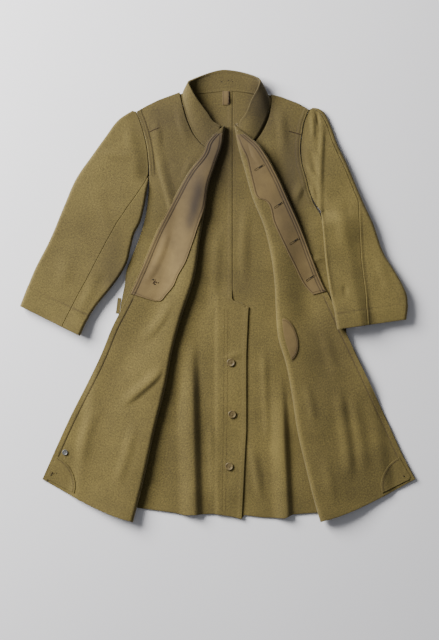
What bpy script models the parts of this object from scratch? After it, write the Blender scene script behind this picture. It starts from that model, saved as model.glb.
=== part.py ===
"""A military overcoat of thick wool, laid on its back with both fronts turned back.

Real size, in metres, +Z up. X runs across the coat, the wearer's right at -X, and +Y runs
towards the collar. The back lies on Z = 0. Every cloth piece is a wall: a grid of points on
its middle surface, moved out by half its thickness along the surface's normals.
Lengths in the tables are millimetres.
"""

import math

import bpy
import numpy as np

MM = 0.001

# Cloth and stacking
WOOL = 2.4
COLLAR_CLOTH = 2.0
COTTON = 1.0
LAYER_GAP = 0.5
SEAM_GAP = 1.5
ARMHOLE_GAP = 0.2
HIDDEN_JOINT_GAP = 2.0
TRIM_GAP = 0.35
LIFT_ON_CURVE = 0.9
# Height on the plan of the armpit at the right side (-1) and at the left side (1)
ARMPIT_Y = {-1: 330.0, 1: 250.0}

BACK_MID = WOOL / 2
FRONT_MID = BACK_MID + WOOL + LAYER_GAP
TURNED_MID = FRONT_MID + WOOL + 2 * LAYER_GAP
COLLAR_REST_MID = 13.5

# Colours
WOOL_COLOUR = (0.23, 0.17, 0.07)
WOOL_INSIDE_COLOUR = (0.20, 0.15, 0.06)
COTTON_COLOUR = (0.28, 0.19, 0.09)
BUTTON_COLOUR = (0.18, 0.12, 0.06)
METAL_COLOUR = (0.35, 0.35, 0.36)

# Outlines seen from above, each a table of x and y
SIDE_R = [
    (-205, 461), (-194, 431), (-185, 401), (-179, 374), (-175, 341), (-174, 309),
    (-176, 266), (-181, 216), (-188, 181), (-201, 141), (-219, 96), (-229, 71),
    (-236, 26), (-241, 1), (-259, -134), (-276, -259), (-296, -384), (-316, -509),
]
SIDE_L = [
    (226, 466), (214, 436), (208, 404), (205, 369), (209, 328), (218, 296),
    (229, 255), (241, 229), (252, 212), (262, 179), (267, 154), (276, 116),
    (287, 86), (299, 54), (309, 1), (326, -134), (344, -259), (364, -384), (384, -509),
]
NECK_R = [(-19, 361), (-36, 375), (-59, 401), (-76, 436), (-87, 472), (-93, 498), (-95, 510)]
NECK_L = [(79, 363), (92, 388), (108, 411), (122, 441), (129, 471), (131, 494), (128, 504)]
BACK_TOP = [
    (-205, 461), (-179, 476), (-149, 491), (-96, 506), (-39, 510), (9, 515), (34, 516),
    (61, 513), (83, 508), (116, 504), (154, 499), (201, 481), (226, 466),
]
BACK_HEM = [
    (-316, -504), (-196, -529), (-112, -540), (-84, -546), (-14, -543), (30, -549),
    (58, -556), (63, -546), (111, -552), (165, -554), (184, -545), (245, -540), (384, -504),
]
FRONT_HEM = [(-316, -500), (-240, -522), (-190, -538), (250, -538), (320, -520), (384, -500)]
VENT_EDGE = [
    (34.3, 518), (34.3, -9), (76, -25), (74, -54), (70, -146), (70, -334), (68, -369), (58, -560),
]
UNDERLAP_EDGE = [(34.7, 518), (34.7, -52), (12, -66), (10, -560)]

# The fold line and the free edge of each turned-back front
FOLD_R = [
    (15, 426), (9, 381), (-8, 331), (-25, 279), (-35, 214), (-47, 144), (-60, 54),
    (-96, -59), (-116, -134), (-133, -224), (-158, -324), (-189, -464), (-214, -562),
]
EDGE_R = [
    (4, 417), (-31, 381), (-37, 362), (-75, 310), (-115, 239), (-155, 162), (-198, 61),
    (-228, -5), (-269, -86), (-288, -134), (-374, -309), (-440, -456),
]
FOLD_L = [
    (41, 424), (49, 379), (66, 316), (86, 246), (114, 176), (131, 106), (141, 29),
    (144, -34), (149, -98), (170, -171), (186, -259), (195, -320), (220, -431),
    (240, -511), (255, -562),
]
EDGE_L = [
    (51, 416), (85, 391), (96, 382), (123, 346), (145, 306), (177, 236), (207, 169),
    (236, 94), (257, 41), (281, -9), (316, -86), (328, -111), (432, -334), (460, -395),
    (492, -456),
]


def smooth_step(t):
    """0 below 0, 1 above 1, and the cubic 3t^2 - 2t^3 between."""
    t = np.clip(t, 0.0, 1.0)
    return t * t * (3 - 2 * t)


def through(knots, values, at):
    """A smooth curve through values at knots: cubic pieces whose slopes are the chords on both sides."""
    knots, values = np.asarray(knots, float), np.asarray(values, float)
    at = np.clip(at, knots[0], knots[-1])
    slopes = np.gradient(values, knots)
    i = np.clip(np.searchsorted(knots, at, side="right") - 1, 0, len(knots) - 2)
    span = knots[i + 1] - knots[i]
    t = (at - knots[i]) / span
    return (
        values[i] * (1 + 2 * t) * (1 - t) ** 2
        + slopes[i] * span * t * (1 - t) ** 2
        + values[i + 1] * t * t * (3 - 2 * t)
        + slopes[i + 1] * span * t * t * (t - 1)
    )


def x_at(outline, y, sharp=False):
    """x of an outline that runs up or down, at heights y."""
    rows = sorted((p[1], p[0]) for p in outline)
    knots, values = zip(*rows)
    return np.interp(y, knots, values) if sharp else through(knots, values, y)


def y_at(outline, x):
    """y of an outline that runs across, at places x."""
    knots, values = zip(*sorted(outline))
    return np.interp(x, knots, values)


def along(outline, fractions):
    """Points at fractions of an outline's length, smooth through its own points."""
    points = np.asarray(outline, float)
    steps = np.linalg.norm(np.diff(points, axis=0), axis=1)
    length = np.concatenate([[0.0], np.cumsum(steps)])
    at = np.asarray(fractions, float) * length[-1]
    return np.stack([through(length, points[:, k], at) for k in range(points.shape[1])], axis=-1)


def ramp_between(*stops):
    """Values from first to last stop, spaced by (value, spans, value, spans, ..., value)."""
    values, spans = stops[0::2], stops[1::2]
    parts = [
        np.linspace(low, high, count, endpoint=False)
        for low, high, count in zip(values[:-1], values[1:], spans)
    ]
    return np.concatenate([*parts, [values[-1]]])


def normals_of(grid):
    """Unit normals of a grid of points, from the cross product of its two directions."""
    down = np.gradient(grid, axis=0)
    across = np.gradient(grid, axis=1)
    normal = np.cross(across, down)
    return normal / np.linalg.norm(normal, axis=2, keepdims=True)


def material(name, colour, roughness, metallic=0.0):
    made = bpy.data.materials.new(name)
    made.use_nodes = True
    shader = made.node_tree.nodes["Principled BSDF"]
    shader.inputs["Base Color"].default_value = (*colour, 1.0)
    shader.inputs["Roughness"].default_value = roughness
    shader.inputs["Metallic"].default_value = metallic
    return made


def add_object(name, points, faces, colour, roughness=0.9, metallic=0.0):
    """Puts a closed mesh, given in millimetres, into the scene, with its faces pointing out."""
    points = np.asarray(points, float)
    corners = [(f[0], f[k], f[k + 1]) for f in faces for k in range(1, len(f) - 1)]
    a, b, c = (points[[t[k] for t in corners]] for k in range(3))
    volume = float((a * np.cross(b, c)).sum()) / 6
    if volume < 0:
        faces = [tuple(reversed(f)) for f in faces]
    mesh = bpy.data.meshes.new(name)
    mesh.from_pydata((points * MM).tolist(), [], [tuple(int(i) for i in f) for f in faces])
    mesh.shade_smooth()
    mesh.set_sharp_from_angle(angle=math.radians(40))
    mesh.materials.append(material(name, colour, roughness, metallic))
    made = bpy.data.objects.new(name, mesh)
    bpy.context.scene.collection.objects.link(made)
    return made


def wall_between(name, upper, lower, colour):
    """A closed wall between two grids of points: both faces, and a rim round their border.

    Each square is cut along the same diagonal on both faces, so that stacked walls keep their gap.
    """
    rows, columns = upper.shape[:2]
    points = np.concatenate([upper.reshape(-1, 3), lower.reshape(-1, 3)])
    points[:, 2] = np.maximum(points[:, 2], 0.0)
    index = np.arange(rows * columns).reshape(rows, columns)
    shift = rows * columns
    a, b = index[:-1, :-1].ravel(), index[:-1, 1:].ravel()
    c, d = index[1:, 1:].ravel(), index[1:, :-1].ravel()
    faces = list(zip(a, b, c)) + list(zip(a, c, d))
    faces += [(k + shift, j + shift, i + shift) for i, j, k in faces]
    border = np.concatenate([index[0, :], index[1:, -1], index[-1, -2::-1], index[-2:0:-1, 0]])
    after = np.roll(border, -1)
    faces += list(zip(after, border, border + shift, after + shift))
    return add_object(name, points, faces, colour)


def wall(name, middle, thickness, colour):
    """A wall of even thickness about a grid of middle points."""
    out = normals_of(middle) * thickness / 2
    return wall_between(name, middle + out, middle - out, colour)


def skin(name, face, out, thickness, gap, colour):
    """A thin piece on a cloth: its points are those of the cloth's face, moved out past the gap."""
    return wall_between(name, face + out * (gap + thickness), face + out * gap, colour)


def flat_panel(guides, levels, top, bottom, sharp=()):
    """Plan points of a panel that lies flat.

    Guides are outlines that run down it, with the number of spans up to the next one, and levels
    are fractions from its top to its bottom. A place is found by turns: its y from its level, and
    its x from the guides at that y.
    """
    weights = []
    for k, (_, spans) in enumerate(guides[:-1]):
        weights += [(k, n / spans) for n in range(spans)]
    weights.append((len(guides) - 2, 1.0))
    columns = []
    for k, w in weights:
        y = np.asarray(levels) * 0.0
        for _ in range(12):
            left = x_at(guides[k][0], y, k in sharp)
            right = x_at(guides[k + 1][0], y, k + 1 in sharp)
            x = left * (1 - w) + right * w
            y = top(x) + levels * (bottom(x) - top(x))
        columns.append(np.stack([x, y], axis=-1))
    return np.stack(columns, axis=1)


def raised(plan, height):
    """Plan points with a height for each."""
    return np.concatenate([plan, np.broadcast_to(height, plan.shape[:2])[..., None]], axis=-1)


def crest_height(plan, crest, half_left, half_right, height, start, full):
    """A soft ridge along a crest line: a cosine bell across it, which grows from start to full."""
    x, y = plan[..., 0], plan[..., 1]
    off = x - x_at(crest, y)
    half = np.where(off < 0, half_left, half_right)
    bell = np.cos(np.clip(off / half, -1, 1) * np.pi / 2) ** 2
    return height * bell * smooth_step((start - y) / (start - full))


# Back pleats: crest line, half widths on the left and the right, height and where it grows
PLEAT_R = [(-74, 518), (-69, -120), (-59, -560)]
PLEAT_R_LEFT, PLEAT_R_RIGHT = 44.0, 22.0
PLEAT_R_HEIGHT, PLEAT_R_START, PLEAT_R_FULL = 13.0, -80.0, -260.0
PLEAT_L = [(150, 504), (150, -90), (157, -270), (165, -430), (171, -560)]
PLEAT_L_LEFT, PLEAT_L_RIGHT = 40.0, 18.0
PLEAT_L_HEIGHT, PLEAT_L_START, PLEAT_L_FULL = 11.0, -170.0, -360.0
# The vent's upper layer rises over the lower one between these two lines
RISE_START, RISE_END = [(-12, 518), (-12, -560)], [(1, 518), (1, -560)]
RISE_TOP, RISE_BOTTOM = 22.0, -9.0
BACK_LEVELS_MM = [
    0, 50, 110, 175, 240, 305, 370, 430, 485, 524, 540, 566, 582, 640, 700, 760, 820, 880,
    940, 1000, 1040, 1065,
]


def shifted(outline, dx):
    return [(x + dx, y) for x, y in outline]


def sewn_side(side, outward):
    """A side line moved in by the room for its seam, which is narrow round the armhole."""
    armpit = ARMPIT_Y[outward]
    return [(x - outward * (ARMHOLE_GAP if y > armpit else SEAM_GAP), y) for x, y in side]


def back_halves():
    levels = np.array(BACK_LEVELS_MM, float) / BACK_LEVELS_MM[-1]

    def top(x):
        return y_at(BACK_TOP, x)

    def hem(x):
        return y_at(BACK_HEM, x)

    right_guides = [
        (shifted(SIDE_R, SEAM_GAP), 4),
        (shifted(PLEAT_R, -PLEAT_R_LEFT), 3),
        (PLEAT_R, 3),
        (shifted(PLEAT_R, PLEAT_R_RIGHT), 1),
        (RISE_START, 1),
        (RISE_END, 3),
        (VENT_EDGE, 0),
    ]
    plan = flat_panel(right_guides, levels, top, hem, sharp={2, 3, 4, 5, 6})
    start, end = RISE_START[0][0], RISE_END[0][0]
    over_vent = smooth_step((plan[..., 0] - start) / (end - start))
    over_vent = over_vent * smooth_step((RISE_TOP - plan[..., 1]) / (RISE_TOP - RISE_BOTTOM))
    pleat = crest_height(
        plan, PLEAT_R, PLEAT_R_LEFT, PLEAT_R_RIGHT, PLEAT_R_HEIGHT, PLEAT_R_START, PLEAT_R_FULL
    )
    height = BACK_MID + over_vent * (WOOL + LAYER_GAP) + pleat
    wall("back_r", raised(plan, height), WOOL, WOOL_INSIDE_COLOUR)

    left_guides = [
        (UNDERLAP_EDGE, 5),
        (shifted(PLEAT_L, -PLEAT_L_LEFT), 3),
        (PLEAT_L, 2),
        (shifted(PLEAT_L, PLEAT_L_RIGHT), 4),
        (shifted(SIDE_L, -SEAM_GAP), 0),
    ]
    plan = flat_panel(left_guides, levels, top, hem, sharp={0, 1, 2, 3})
    pleat = crest_height(
        plan, PLEAT_L, PLEAT_L_LEFT, PLEAT_L_RIGHT, PLEAT_L_HEIGHT, PLEAT_L_START, PLEAT_L_FULL
    )
    wall("back_l", raised(plan, BACK_MID + pleat), WOOL, WOOL_INSIDE_COLOUR)


class TurnedFront:
    """The part of a front that is turned back over its fold.

    It is a lip below, the turn, and the layer on top, whose inside shows.
    """

    LIP = 15.0
    # The lip and the turn are narrower than these shares of the turned part's width
    LIP_SHARE, DEPTH_SHARE = 0.6, 0.28
    # Rows are closer together as far down as this, beside the collar
    ROWS, CLOSE_ROWS, CLOSE_TO = 21, 5, 0.12
    # The columns on the upper layer stand closer at the turn, by this power
    SPREAD = 1.25
    CROWN_AT = [0, 0.12, 0.3, 1]
    # Where, going down, the free edge's lift is full, starts to fall and is gone
    LIFT_GROWN, LIFT_FALLS, LIFT_GONE = 0.09, 0.25, 0.38
    LIFT_REACH = 0.6
    ROLL_WIDENS, ROLL_WIDE = 0.44, 0.8
    # Between these heights on the plan the layer climbs onto the collar's end
    CLIMB_START, CLIMB_END = 285.0, 350.0
    # Past the side line, the layer comes down to the table between these distances
    TABLE_REACHED, TABLE_LEFT = -66.0, -34.0
    HEM_POWER = 12

    def __init__(self, fold, edge, side, outward, loft, edge_lift, depth, roll, hem_drop):
        self.fold, self.edge, self.side = fold, edge, side
        self.outward, self.loft, self.edge_lift = outward, loft, edge_lift
        self.depth, self.roll, self.hem_drop = depth, roll, hem_drop

    def rest_height(self, x, y):
        """Height of the lying layer's middle.

        It lies on the front below it, on the surface past the side, and over the collar's end.
        """
        inside = (x - x_at(self.side, y)) * -self.outward
        climbed = smooth_step((y - self.CLIMB_START) / (self.CLIMB_END - self.CLIMB_START))
        above = TURNED_MID + (COLLAR_REST_MID - TURNED_MID) * climbed
        on_coat = smooth_step((inside - self.TABLE_REACHED) / (self.TABLE_LEFT - self.TABLE_REACHED))
        return BACK_MID + (above - BACK_MID) * on_coat

    def section(self, down, part):
        """Points at fractions down the fold.

        Part runs 0 to 1 on the lip, 1 to 2 round the turn, and 2 to 3 from there to the free edge.
        """
        down, part = np.broadcast_arrays(down, part)
        fold, edge = along(self.fold, down), along(self.edge, down)
        way = edge - fold
        width = np.linalg.norm(way, axis=-1)
        way = way / width[..., None]
        depth = np.minimum(self.depth, self.DEPTH_SHARE * width)
        lip = np.minimum(self.LIP, self.LIP_SHARE * width)
        on_top = np.clip(part - 2, 0, 1)
        angle = (np.clip(part - 1, 0, 1) - 0.5) * np.pi
        on_lip = lip + (depth - lip) * part
        on_turn = depth * (1 - np.cos(angle))
        on_upper = depth + (width - depth) * on_top**self.SPREAD
        out = np.select([part < 1, part < 2], [on_lip, on_turn], on_upper)
        place = fold + way * out[..., None]
        place[..., 1] -= self.hem_drop * np.sin(np.pi * on_top) * down**self.HEM_POWER
        rest = self.rest_height(place[..., 0], place[..., 1])
        lift = self.edge_lift * smooth_step(down / self.LIFT_GROWN)
        lift = lift * smooth_step((self.LIFT_GONE - down) / (self.LIFT_GONE - self.LIFT_FALLS))
        rest = rest + lift * smooth_step(on_top / self.LIFT_REACH)
        loft = through(self.CROWN_AT, self.loft, down)
        narrow, wide = self.roll
        widening = smooth_step((down - self.ROLL_WIDENS) / (self.ROLL_WIDE - self.ROLL_WIDENS))
        roll = narrow + (wide - narrow) * widening
        fall = np.cos(np.clip((out - depth) / roll, 0, 1) * np.pi / 2) ** 2
        upper = rest + (np.maximum(loft, rest) - rest) * fall
        crown = np.maximum(loft, self.rest_at_turn(fold, way, depth))
        turn = (crown + FRONT_MID) / 2 + (crown - FRONT_MID) / 2 * np.sin(angle)
        height = np.select([part < 1, part < 2], [FRONT_MID + 0 * part, turn], upper)
        return np.concatenate([place, height[..., None]], axis=-1)

    def rest_at_turn(self, fold, way, depth):
        place = fold + way * depth[..., None]
        return self.rest_height(place[..., 0], place[..., 1])

    def rows(self):
        return ramp_between(0, self.CLOSE_ROWS, self.CLOSE_TO, self.ROWS - 1 - self.CLOSE_ROWS, 1.0)

    def grid(self, parts):
        return self.section(self.rows()[:, None], np.asarray(parts)[None, :])

    def on_face(self, down, part):
        """Points and normals of the upper face at fractions down and parts.

        They are read between the grid's own points, so that a piece follows the wall's facets.
        """
        grid = self.grid(TURNED_PARTS)
        out = normals_of(grid)
        out *= np.sign(out[:, TURNED_PARTS > 2, 2].mean())
        down, part = np.broadcast_arrays(down, part)
        row = np.interp(down, self.rows(), np.arange(self.ROWS))
        column = np.interp(part, TURNED_PARTS, np.arange(len(TURNED_PARTS)))
        i = np.clip(row.astype(int), 0, self.ROWS - 2)
        j = np.clip(column.astype(int), 0, len(TURNED_PARTS) - 2)
        u, v = (row - i)[..., None], (column - j)[..., None]

        def between(values):
            near = values[i, j] * (1 - v) + values[i, j + 1] * v
            far = values[i + 1, j] * (1 - v) + values[i + 1, j + 1] * v
            return near * (1 - u) + far * u

        normal = between(out)
        return between(grid + out * WOOL / 2), normal / np.linalg.norm(normal, axis=-1, keepdims=True)

    def place_of(self, line):
        """The fractions down and the parts at which the upper layer passes through plan points."""
        rows, parts = np.linspace(0, 1, 600), np.linspace(2, 3, 200)
        plan = self.section(rows[:, None], parts[None, :])[..., :2]
        nearest = [np.argmin(((plan - point) ** 2).sum(axis=-1)) for point in np.asarray(line, float)]
        row, column = np.unravel_index(nearest, plan.shape[:2])
        return rows[row], parts[column]

    def beside_edge(self, down, inset):
        """The part that lies an inset in from the free edge."""
        width = np.linalg.norm(along(self.edge, down) - along(self.fold, down), axis=-1)
        share = np.clip((width - inset - self.depth) / (width - self.depth), NARROWEST, 1)
        return 2 + share ** (1 / self.SPREAD)

    def lip_line(self):
        points = self.section(self.rows(), np.zeros(self.ROWS))
        return [(float(x), float(y)) for x, y in points[:, :2]]


TURNED_R = TurnedFront(FOLD_R, EDGE_R, SIDE_R, -1, [17, 20, 21, 22], 0.0, 8.0, (72.0, 150.0), 10.0)
TURNED_L = TurnedFront(FOLD_L, EDGE_L, SIDE_L, 1, [17, 21, 22, 21], 9.0, 10.0, (84.0, 185.0), 9.0)
TURNED_PARTS = ramp_between(0, 2, 1, 6, 2, 9, 3)


def turned_fronts():
    for name, front in (("front_r_turned", TURNED_R), ("front_l_turned", TURNED_L)):
        wall(name, front.grid(TURNED_PARTS), WOOL, WOOL_INSIDE_COLOUR)


# The shoulder seam starts this far from the middle, and the lip ends this far below the neck seam
SHOULDER_START = 80.0
BELOW_NECK = 4.0


def lying_front(name, side, neck, front, outward):
    """The part of a front that lies face up on the back, from the side to the turned part's lip."""
    lip_end = min(y for _, y in neck) - BELOW_NECK
    lip = [point for point in front.lip_line() if point[1] < lip_end]
    inner = shifted(lip + neck, outward * HIDDEN_JOINT_GAP)
    shoulder = [point for point in BACK_TOP if point[0] * outward > SHOULDER_START]
    shoulder.append(max(inner, key=lambda point: point[1]))
    guides = [(sewn_side(side, outward), 5), (inner, 0)]
    levels = ramp_between(0, 6, 0.16, 6, 0.32, 8, 1)
    plan = flat_panel(guides, levels, lambda x: y_at(shoulder, x), lambda x: y_at(FRONT_HEM, x))
    wall(name, raised(plan, FRONT_MID), WOOL, WOOL_COLOUR)


# The facing's and the buttonhole strip's borders towards the fold, their lower outer corners, and
# how far they stay in from the free edge
COTTON_MARGIN = 3.0
NARROWEST = 0.05
FACING_R = [
    (9, 405), (6, 381), (-10, 331), (-27, 279), (-36, 222), (-49, 180), (-61, 142), (-70, 116),
    (-82, 84), (-100, 52), (-111, 26), (-129, 5), (-144, -11), (-161, -11),
]
FACING_R_END = (-218, 6)
STRIP_L = [
    (43, 401), (56, 372), (69, 344), (76, 315), (85, 279), (97, 244), (111, 239), (138, 181),
    (165, 122), (188, 76), (211, 31), (236, 4),
]
STRIP_L_END = (265, 12)


def skin_on_front(name, front, down, part, colour):
    skin(name, *front.on_face(down, part), COTTON, LIFT_ON_CURVE, colour)


def strip(name, front, border, end):
    """A long piece between a border line and the front's free edge."""
    steps = np.linspace(0, 1, 17)
    points = np.asarray(border, float)
    length = np.concatenate([[0.0], np.cumsum(np.linalg.norm(np.diff(points, axis=0), axis=1))])
    border_down, border_part = front.place_of(border)
    end_down, _ = front.place_of([end])
    inner_down = np.interp(steps * length[-1], length, border_down)
    inner_part = np.interp(steps * length[-1], length, border_part)
    outer_down = border_down[0] + (end_down[0] - border_down[0]) * steps
    outer_part = front.beside_edge(outer_down, COTTON_MARGIN)
    inner_part = np.minimum(inner_part, outer_part - NARROWEST)
    across = np.linspace(0, 1, 7)[None, :]
    down = inner_down[:, None] * (1 - across) + outer_down[:, None] * across
    part = inner_part[:, None] * (1 - across) + outer_part[:, None] * across
    skin_on_front(name, front, down, part, COTTON_COLOUR)


def rounded(name, front, centre, reach, sector, colour):
    """A patch round a centre given as down and part, out to a reach in both, over a sector."""
    angle = np.radians(np.linspace(*sector, 9))[None, :]
    size = np.linspace(0.12, 1, 5)[:, None]
    down = centre[0] + reach[0] * size * np.sin(angle)
    part = centre[1] + reach[1] * size * np.cos(angle)
    skin_on_front(name, front, down, part, colour)


# Centre as down and part, reach down and across, and the sector's angles in degrees
CORNER = (0.993, 2.975), (-0.062, -0.27), (2, 88)
POCKET_MOUTH = (0.545, 2.05), (0.052, 0.26), (-88, 88)


def skins_on_fronts():
    """Facing, buttonhole strip and reinforcements, each a range of a turned front's own surface."""
    strip("facing_r", TURNED_R, FACING_R, FACING_R_END)
    strip("strip_l", TURNED_L, STRIP_L, STRIP_L_END)
    rounded("corner_patch_r", TURNED_R, *CORNER, WOOL_INSIDE_COLOUR)
    rounded("corner_patch_l", TURNED_L, *CORNER, WOOL_INSIDE_COLOUR)
    rounded("pocket_patch_l", TURNED_L, *POCKET_MOUTH, COTTON_COLOUR)


class Sleeve:
    """A sleeve laid flat: an upper and a lower layer that meet in a turn at each side."""

    TURN = 6.0
    TURN_SHARE = 0.3
    ARMHOLE_TURN = 0.5
    # Between its layers the sleeve is thin at the cap and full from the elbow down
    CAP_SEPARATION, SEPARATION = 5.6, 14.0
    SWELL_START, SWELL_END = 0.05, 0.40
    ARMHOLE_SEPARATION, ARMHOLE_REACH = FRONT_MID - BACK_MID, 40.0
    # Just below the armpit the seam starts to wrap round within this share of the length
    WRAP = 0.02

    def __init__(self, inner, outer, armpit, lift):
        self.inner, self.outer, self.armpit, self.lift = inner, outer, armpit, lift

    def past_armpit(self, down, over=0.07):
        return smooth_step((down - self.armpit) / over)

    def section(self, down, turn):
        """Points at fractions down the sleeve.

        Turn runs 0 to 1 over the upper layer from the inner side, to 2 round the outer turn, to 3
        back under it, and to 4 round the inner turn.
        """
        down, turn = np.broadcast_arrays(down, turn)
        turn = np.mod(turn, 4.0)
        start, end = along(self.inner, down), along(self.outer, down)
        way = end - start
        width = np.linalg.norm(way, axis=-1)
        way = way / width[..., None]
        near = self.ARMHOLE_TURN + (self.TURN - self.ARMHOLE_TURN) * self.past_armpit(down)
        far = np.minimum(self.TURN, self.TURN_SHARE * width)
        flat = width - near - far
        outer_angle, inner_angle = (turn - 1) * np.pi, (turn - 3) * np.pi
        over, under = near + flat * turn, near + flat * (3 - turn)
        round_outer = width - far + far * np.sin(outer_angle)
        round_inner = near - near * np.sin(inner_angle)
        where = [turn <= 1, turn <= 2, turn <= 3]
        out = np.select(where, [over, round_outer, under], round_inner)
        level = np.ones_like(out)
        side = np.select(where, [level, np.cos(outer_angle), -level], -np.cos(inner_angle))
        at_armhole = (1 - self.past_armpit(down)) * (1 - smooth_step(out / self.ARMHOLE_REACH))
        swell = smooth_step((down - self.SWELL_START) / (self.SWELL_END - self.SWELL_START))
        puffed = self.CAP_SEPARATION + (self.SEPARATION - self.CAP_SEPARATION) * swell
        apart = puffed + (self.ARMHOLE_SEPARATION - puffed) * at_armhole
        height = BACK_MID + self.lift(down, out) + apart * (side + 1) / 2
        place = start + way * out[..., None]
        return np.concatenate([place, height[..., None]], axis=-1)

    def width(self, down):
        return np.linalg.norm(along(self.outer, down) - along(self.inner, down), axis=-1)


SLEEVE_R_INNER = [
    (-205, 461), (-194, 431), (-185, 401), (-179, 374), (-175, 341), (-174, 309),
    (-181, 254), (-189, 211), (-196, 186), (-211, 156), (-219, 126), (-229, 86),
    (-251, 46), (-271, 19), (-306, -24), (-331, -64), (-346, -98),
]
SLEEVE_R_OUTER = [
    (-214, 463), (-229, 454), (-244, 444), (-282, 396), (-312, 354), (-355, 291),
    (-381, 231), (-420, 139), (-458, 64), (-493, -25),
]
SLEEVE_L_INNER = [
    (226, 466), (214, 436), (208, 404), (205, 369), (209, 328), (218, 296), (229, 255),
    (242, 229), (255, 211), (259, 179), (270, 66), (279, 6), (287, -29), (297, -82),
]
SLEEVE_L_OUTER = [
    (234, 470), (246, 469), (259, 462), (269, 448), (280, 424), (296, 379), (318, 334),
    (340, 281), (369, 214), (381, 189), (414, 101), (436, 66), (461, 21), (469, -1),
    (470, -21), (466, -58),
]


# Where down the left sleeve its inner side climbs onto the front, and then onto the turned front,
# and how far across the sleeve it lies on them
ON_FRONT, ON_TURNED = (0.475, 0.545), (0.70, 0.82)
LIES_ON_COAT, CLEAR_OF_COAT = 55.0, 95.0


# Both cuffs rise off the table from this far down the sleeve, the right one at its inner corner
CUFF_RISE_START = 0.8
CUFF_RISE_R, CUFF_REACH_R = 9.0, 110.0
CUFF_RISE_L = 5.0


def cuff_rise(down):
    return smooth_step((down - CUFF_RISE_START) / (1 - CUFF_RISE_START))


def lift_of_cuff(down, out):
    return CUFF_RISE_R * cuff_rise(down) * (1 - smooth_step(out / CUFF_REACH_R))


def lift_on_body(down, out):
    """The left sleeve's inner side lies on the coat's side, and its cuff on the turned front too."""
    front_step, turned_step = FRONT_MID - BACK_MID + WOOL + LAYER_GAP, WOOL + 2 * LAYER_GAP
    on_front = smooth_step((down - ON_FRONT[0]) / (ON_FRONT[1] - ON_FRONT[0]))
    on_turned = smooth_step((down - ON_TURNED[0]) / (ON_TURNED[1] - ON_TURNED[0]))
    across = 1 - smooth_step((out - LIES_ON_COAT) / (CLEAR_OF_COAT - LIES_ON_COAT))
    return (front_step * on_front + turned_step * on_turned) * across + CUFF_RISE_L * cuff_rise(down)


ARMPIT_R, ARMPIT_L = 0.262, 0.474
SLEEVE_R = Sleeve(SLEEVE_R_INNER, SLEEVE_R_OUTER, ARMPIT_R, lift_of_cuff)
SLEEVE_L = Sleeve(SLEEVE_L_INNER, SLEEVE_L_OUTER, ARMPIT_L, lift_on_body)
# The seam that shows on each sleeve, from the armpit or the outer side down to the cuff
SEAM_R = [
    (-175, 308), (-181, 291), (-192, 271), (-229, 219), (-282, 131), (-316, 66), (-352, -1),
    (-386, -68),
]
SEAM_L = [(347, 262), (350, 189), (358, 66), (364, 19), (367, -24), (370, -72)]
SEAM_BELOW = 0.12
SEAM_HALF_GAP = 0.25


def sleeve_rows(sleeve):
    """Fractions down the sleeve, closest together at the armpit, where the cloth wraps round."""
    a = sleeve.armpit
    return ramp_between(0, 5, a, 1, a + sleeve.WRAP, 3, a + 0.1, 7, 1)


def seam_share(sleeve, line, down):
    """The share across the upper layer at which a seam's plan line crosses each row."""
    rows, shares = np.linspace(0, 1, 300), np.linspace(0, 0.97, 150)
    plan = sleeve.section(rows[:, None], shares[None, :])[..., :2]
    nearest = [np.argmin(((plan - point) ** 2).sum(axis=-1)) for point in np.asarray(line, float)]
    row, column = np.unravel_index(nearest, plan.shape[:2])
    return np.interp(down, rows[row], shares[column])


def piecewise(start, *spans_and_ends):
    """Columns of turn values for every row: from start to each end in turn, with its number of spans."""
    spans, ends = spans_and_ends[0::2], spans_and_ends[1::2]
    parts, low = [], start
    for count, high in zip(spans, ends):
        share = np.arange(count) / count
        parts.append(low[:, None] + (high - low)[:, None] * share[None, :])
        low = high
    return np.concatenate([*parts, low[:, None]], axis=1)


def sleeve_r():
    down = sleeve_rows(SLEEVE_R)
    gap = SEAM_HALF_GAP / SLEEVE_R.width(down)
    wrapped = SLEEVE_R.past_armpit(down, SLEEVE_R.WRAP)
    seam = seam_share(SLEEVE_R, SEAM_R, down)
    one = np.ones_like(down)
    below = (2 + SEAM_BELOW) * one
    turn = piecewise(seam + gap, 8, one, 6, 2 * one, 1, below)
    wall("sleeve_top_r", SLEEVE_R.section(down[:, None], turn), WOOL, WOOL_COLOUR)
    last = 3 + wrapped * (1 + seam - gap)
    turn = piecewise(below + gap, 6, (3 - SEAM_BELOW) * one, 9, last)
    wall("sleeve_under_r", SLEEVE_R.section(down[:, None], turn), WOOL, WOOL_COLOUR)


def sleeve_l():
    down = sleeve_rows(SLEEVE_L)
    gap = SEAM_HALF_GAP / SLEEVE_L.width(down)
    wrapped = SLEEVE_L.past_armpit(down, SLEEVE_L.WRAP)
    seam = seam_share(SLEEVE_L, SEAM_L, down)
    one = np.ones_like(down)
    first = 4 - wrapped * (1 + SEAM_BELOW) + gap
    turn = piecewise(first, 8, (4 + SEAM_BELOW) * one, 8, 4 + seam - gap)
    wall("sleeve_top_l", SLEEVE_L.section(down[:, None], turn), WOOL, WOOL_COLOUR)
    last = 3 - wrapped * SEAM_BELOW - gap
    turn = piecewise(seam + gap, 3, one, 6, 2 * one, 6, last)
    wall("sleeve_under_l", SLEEVE_L.section(down[:, None], turn), WOOL, WOOL_COLOUR)


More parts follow.
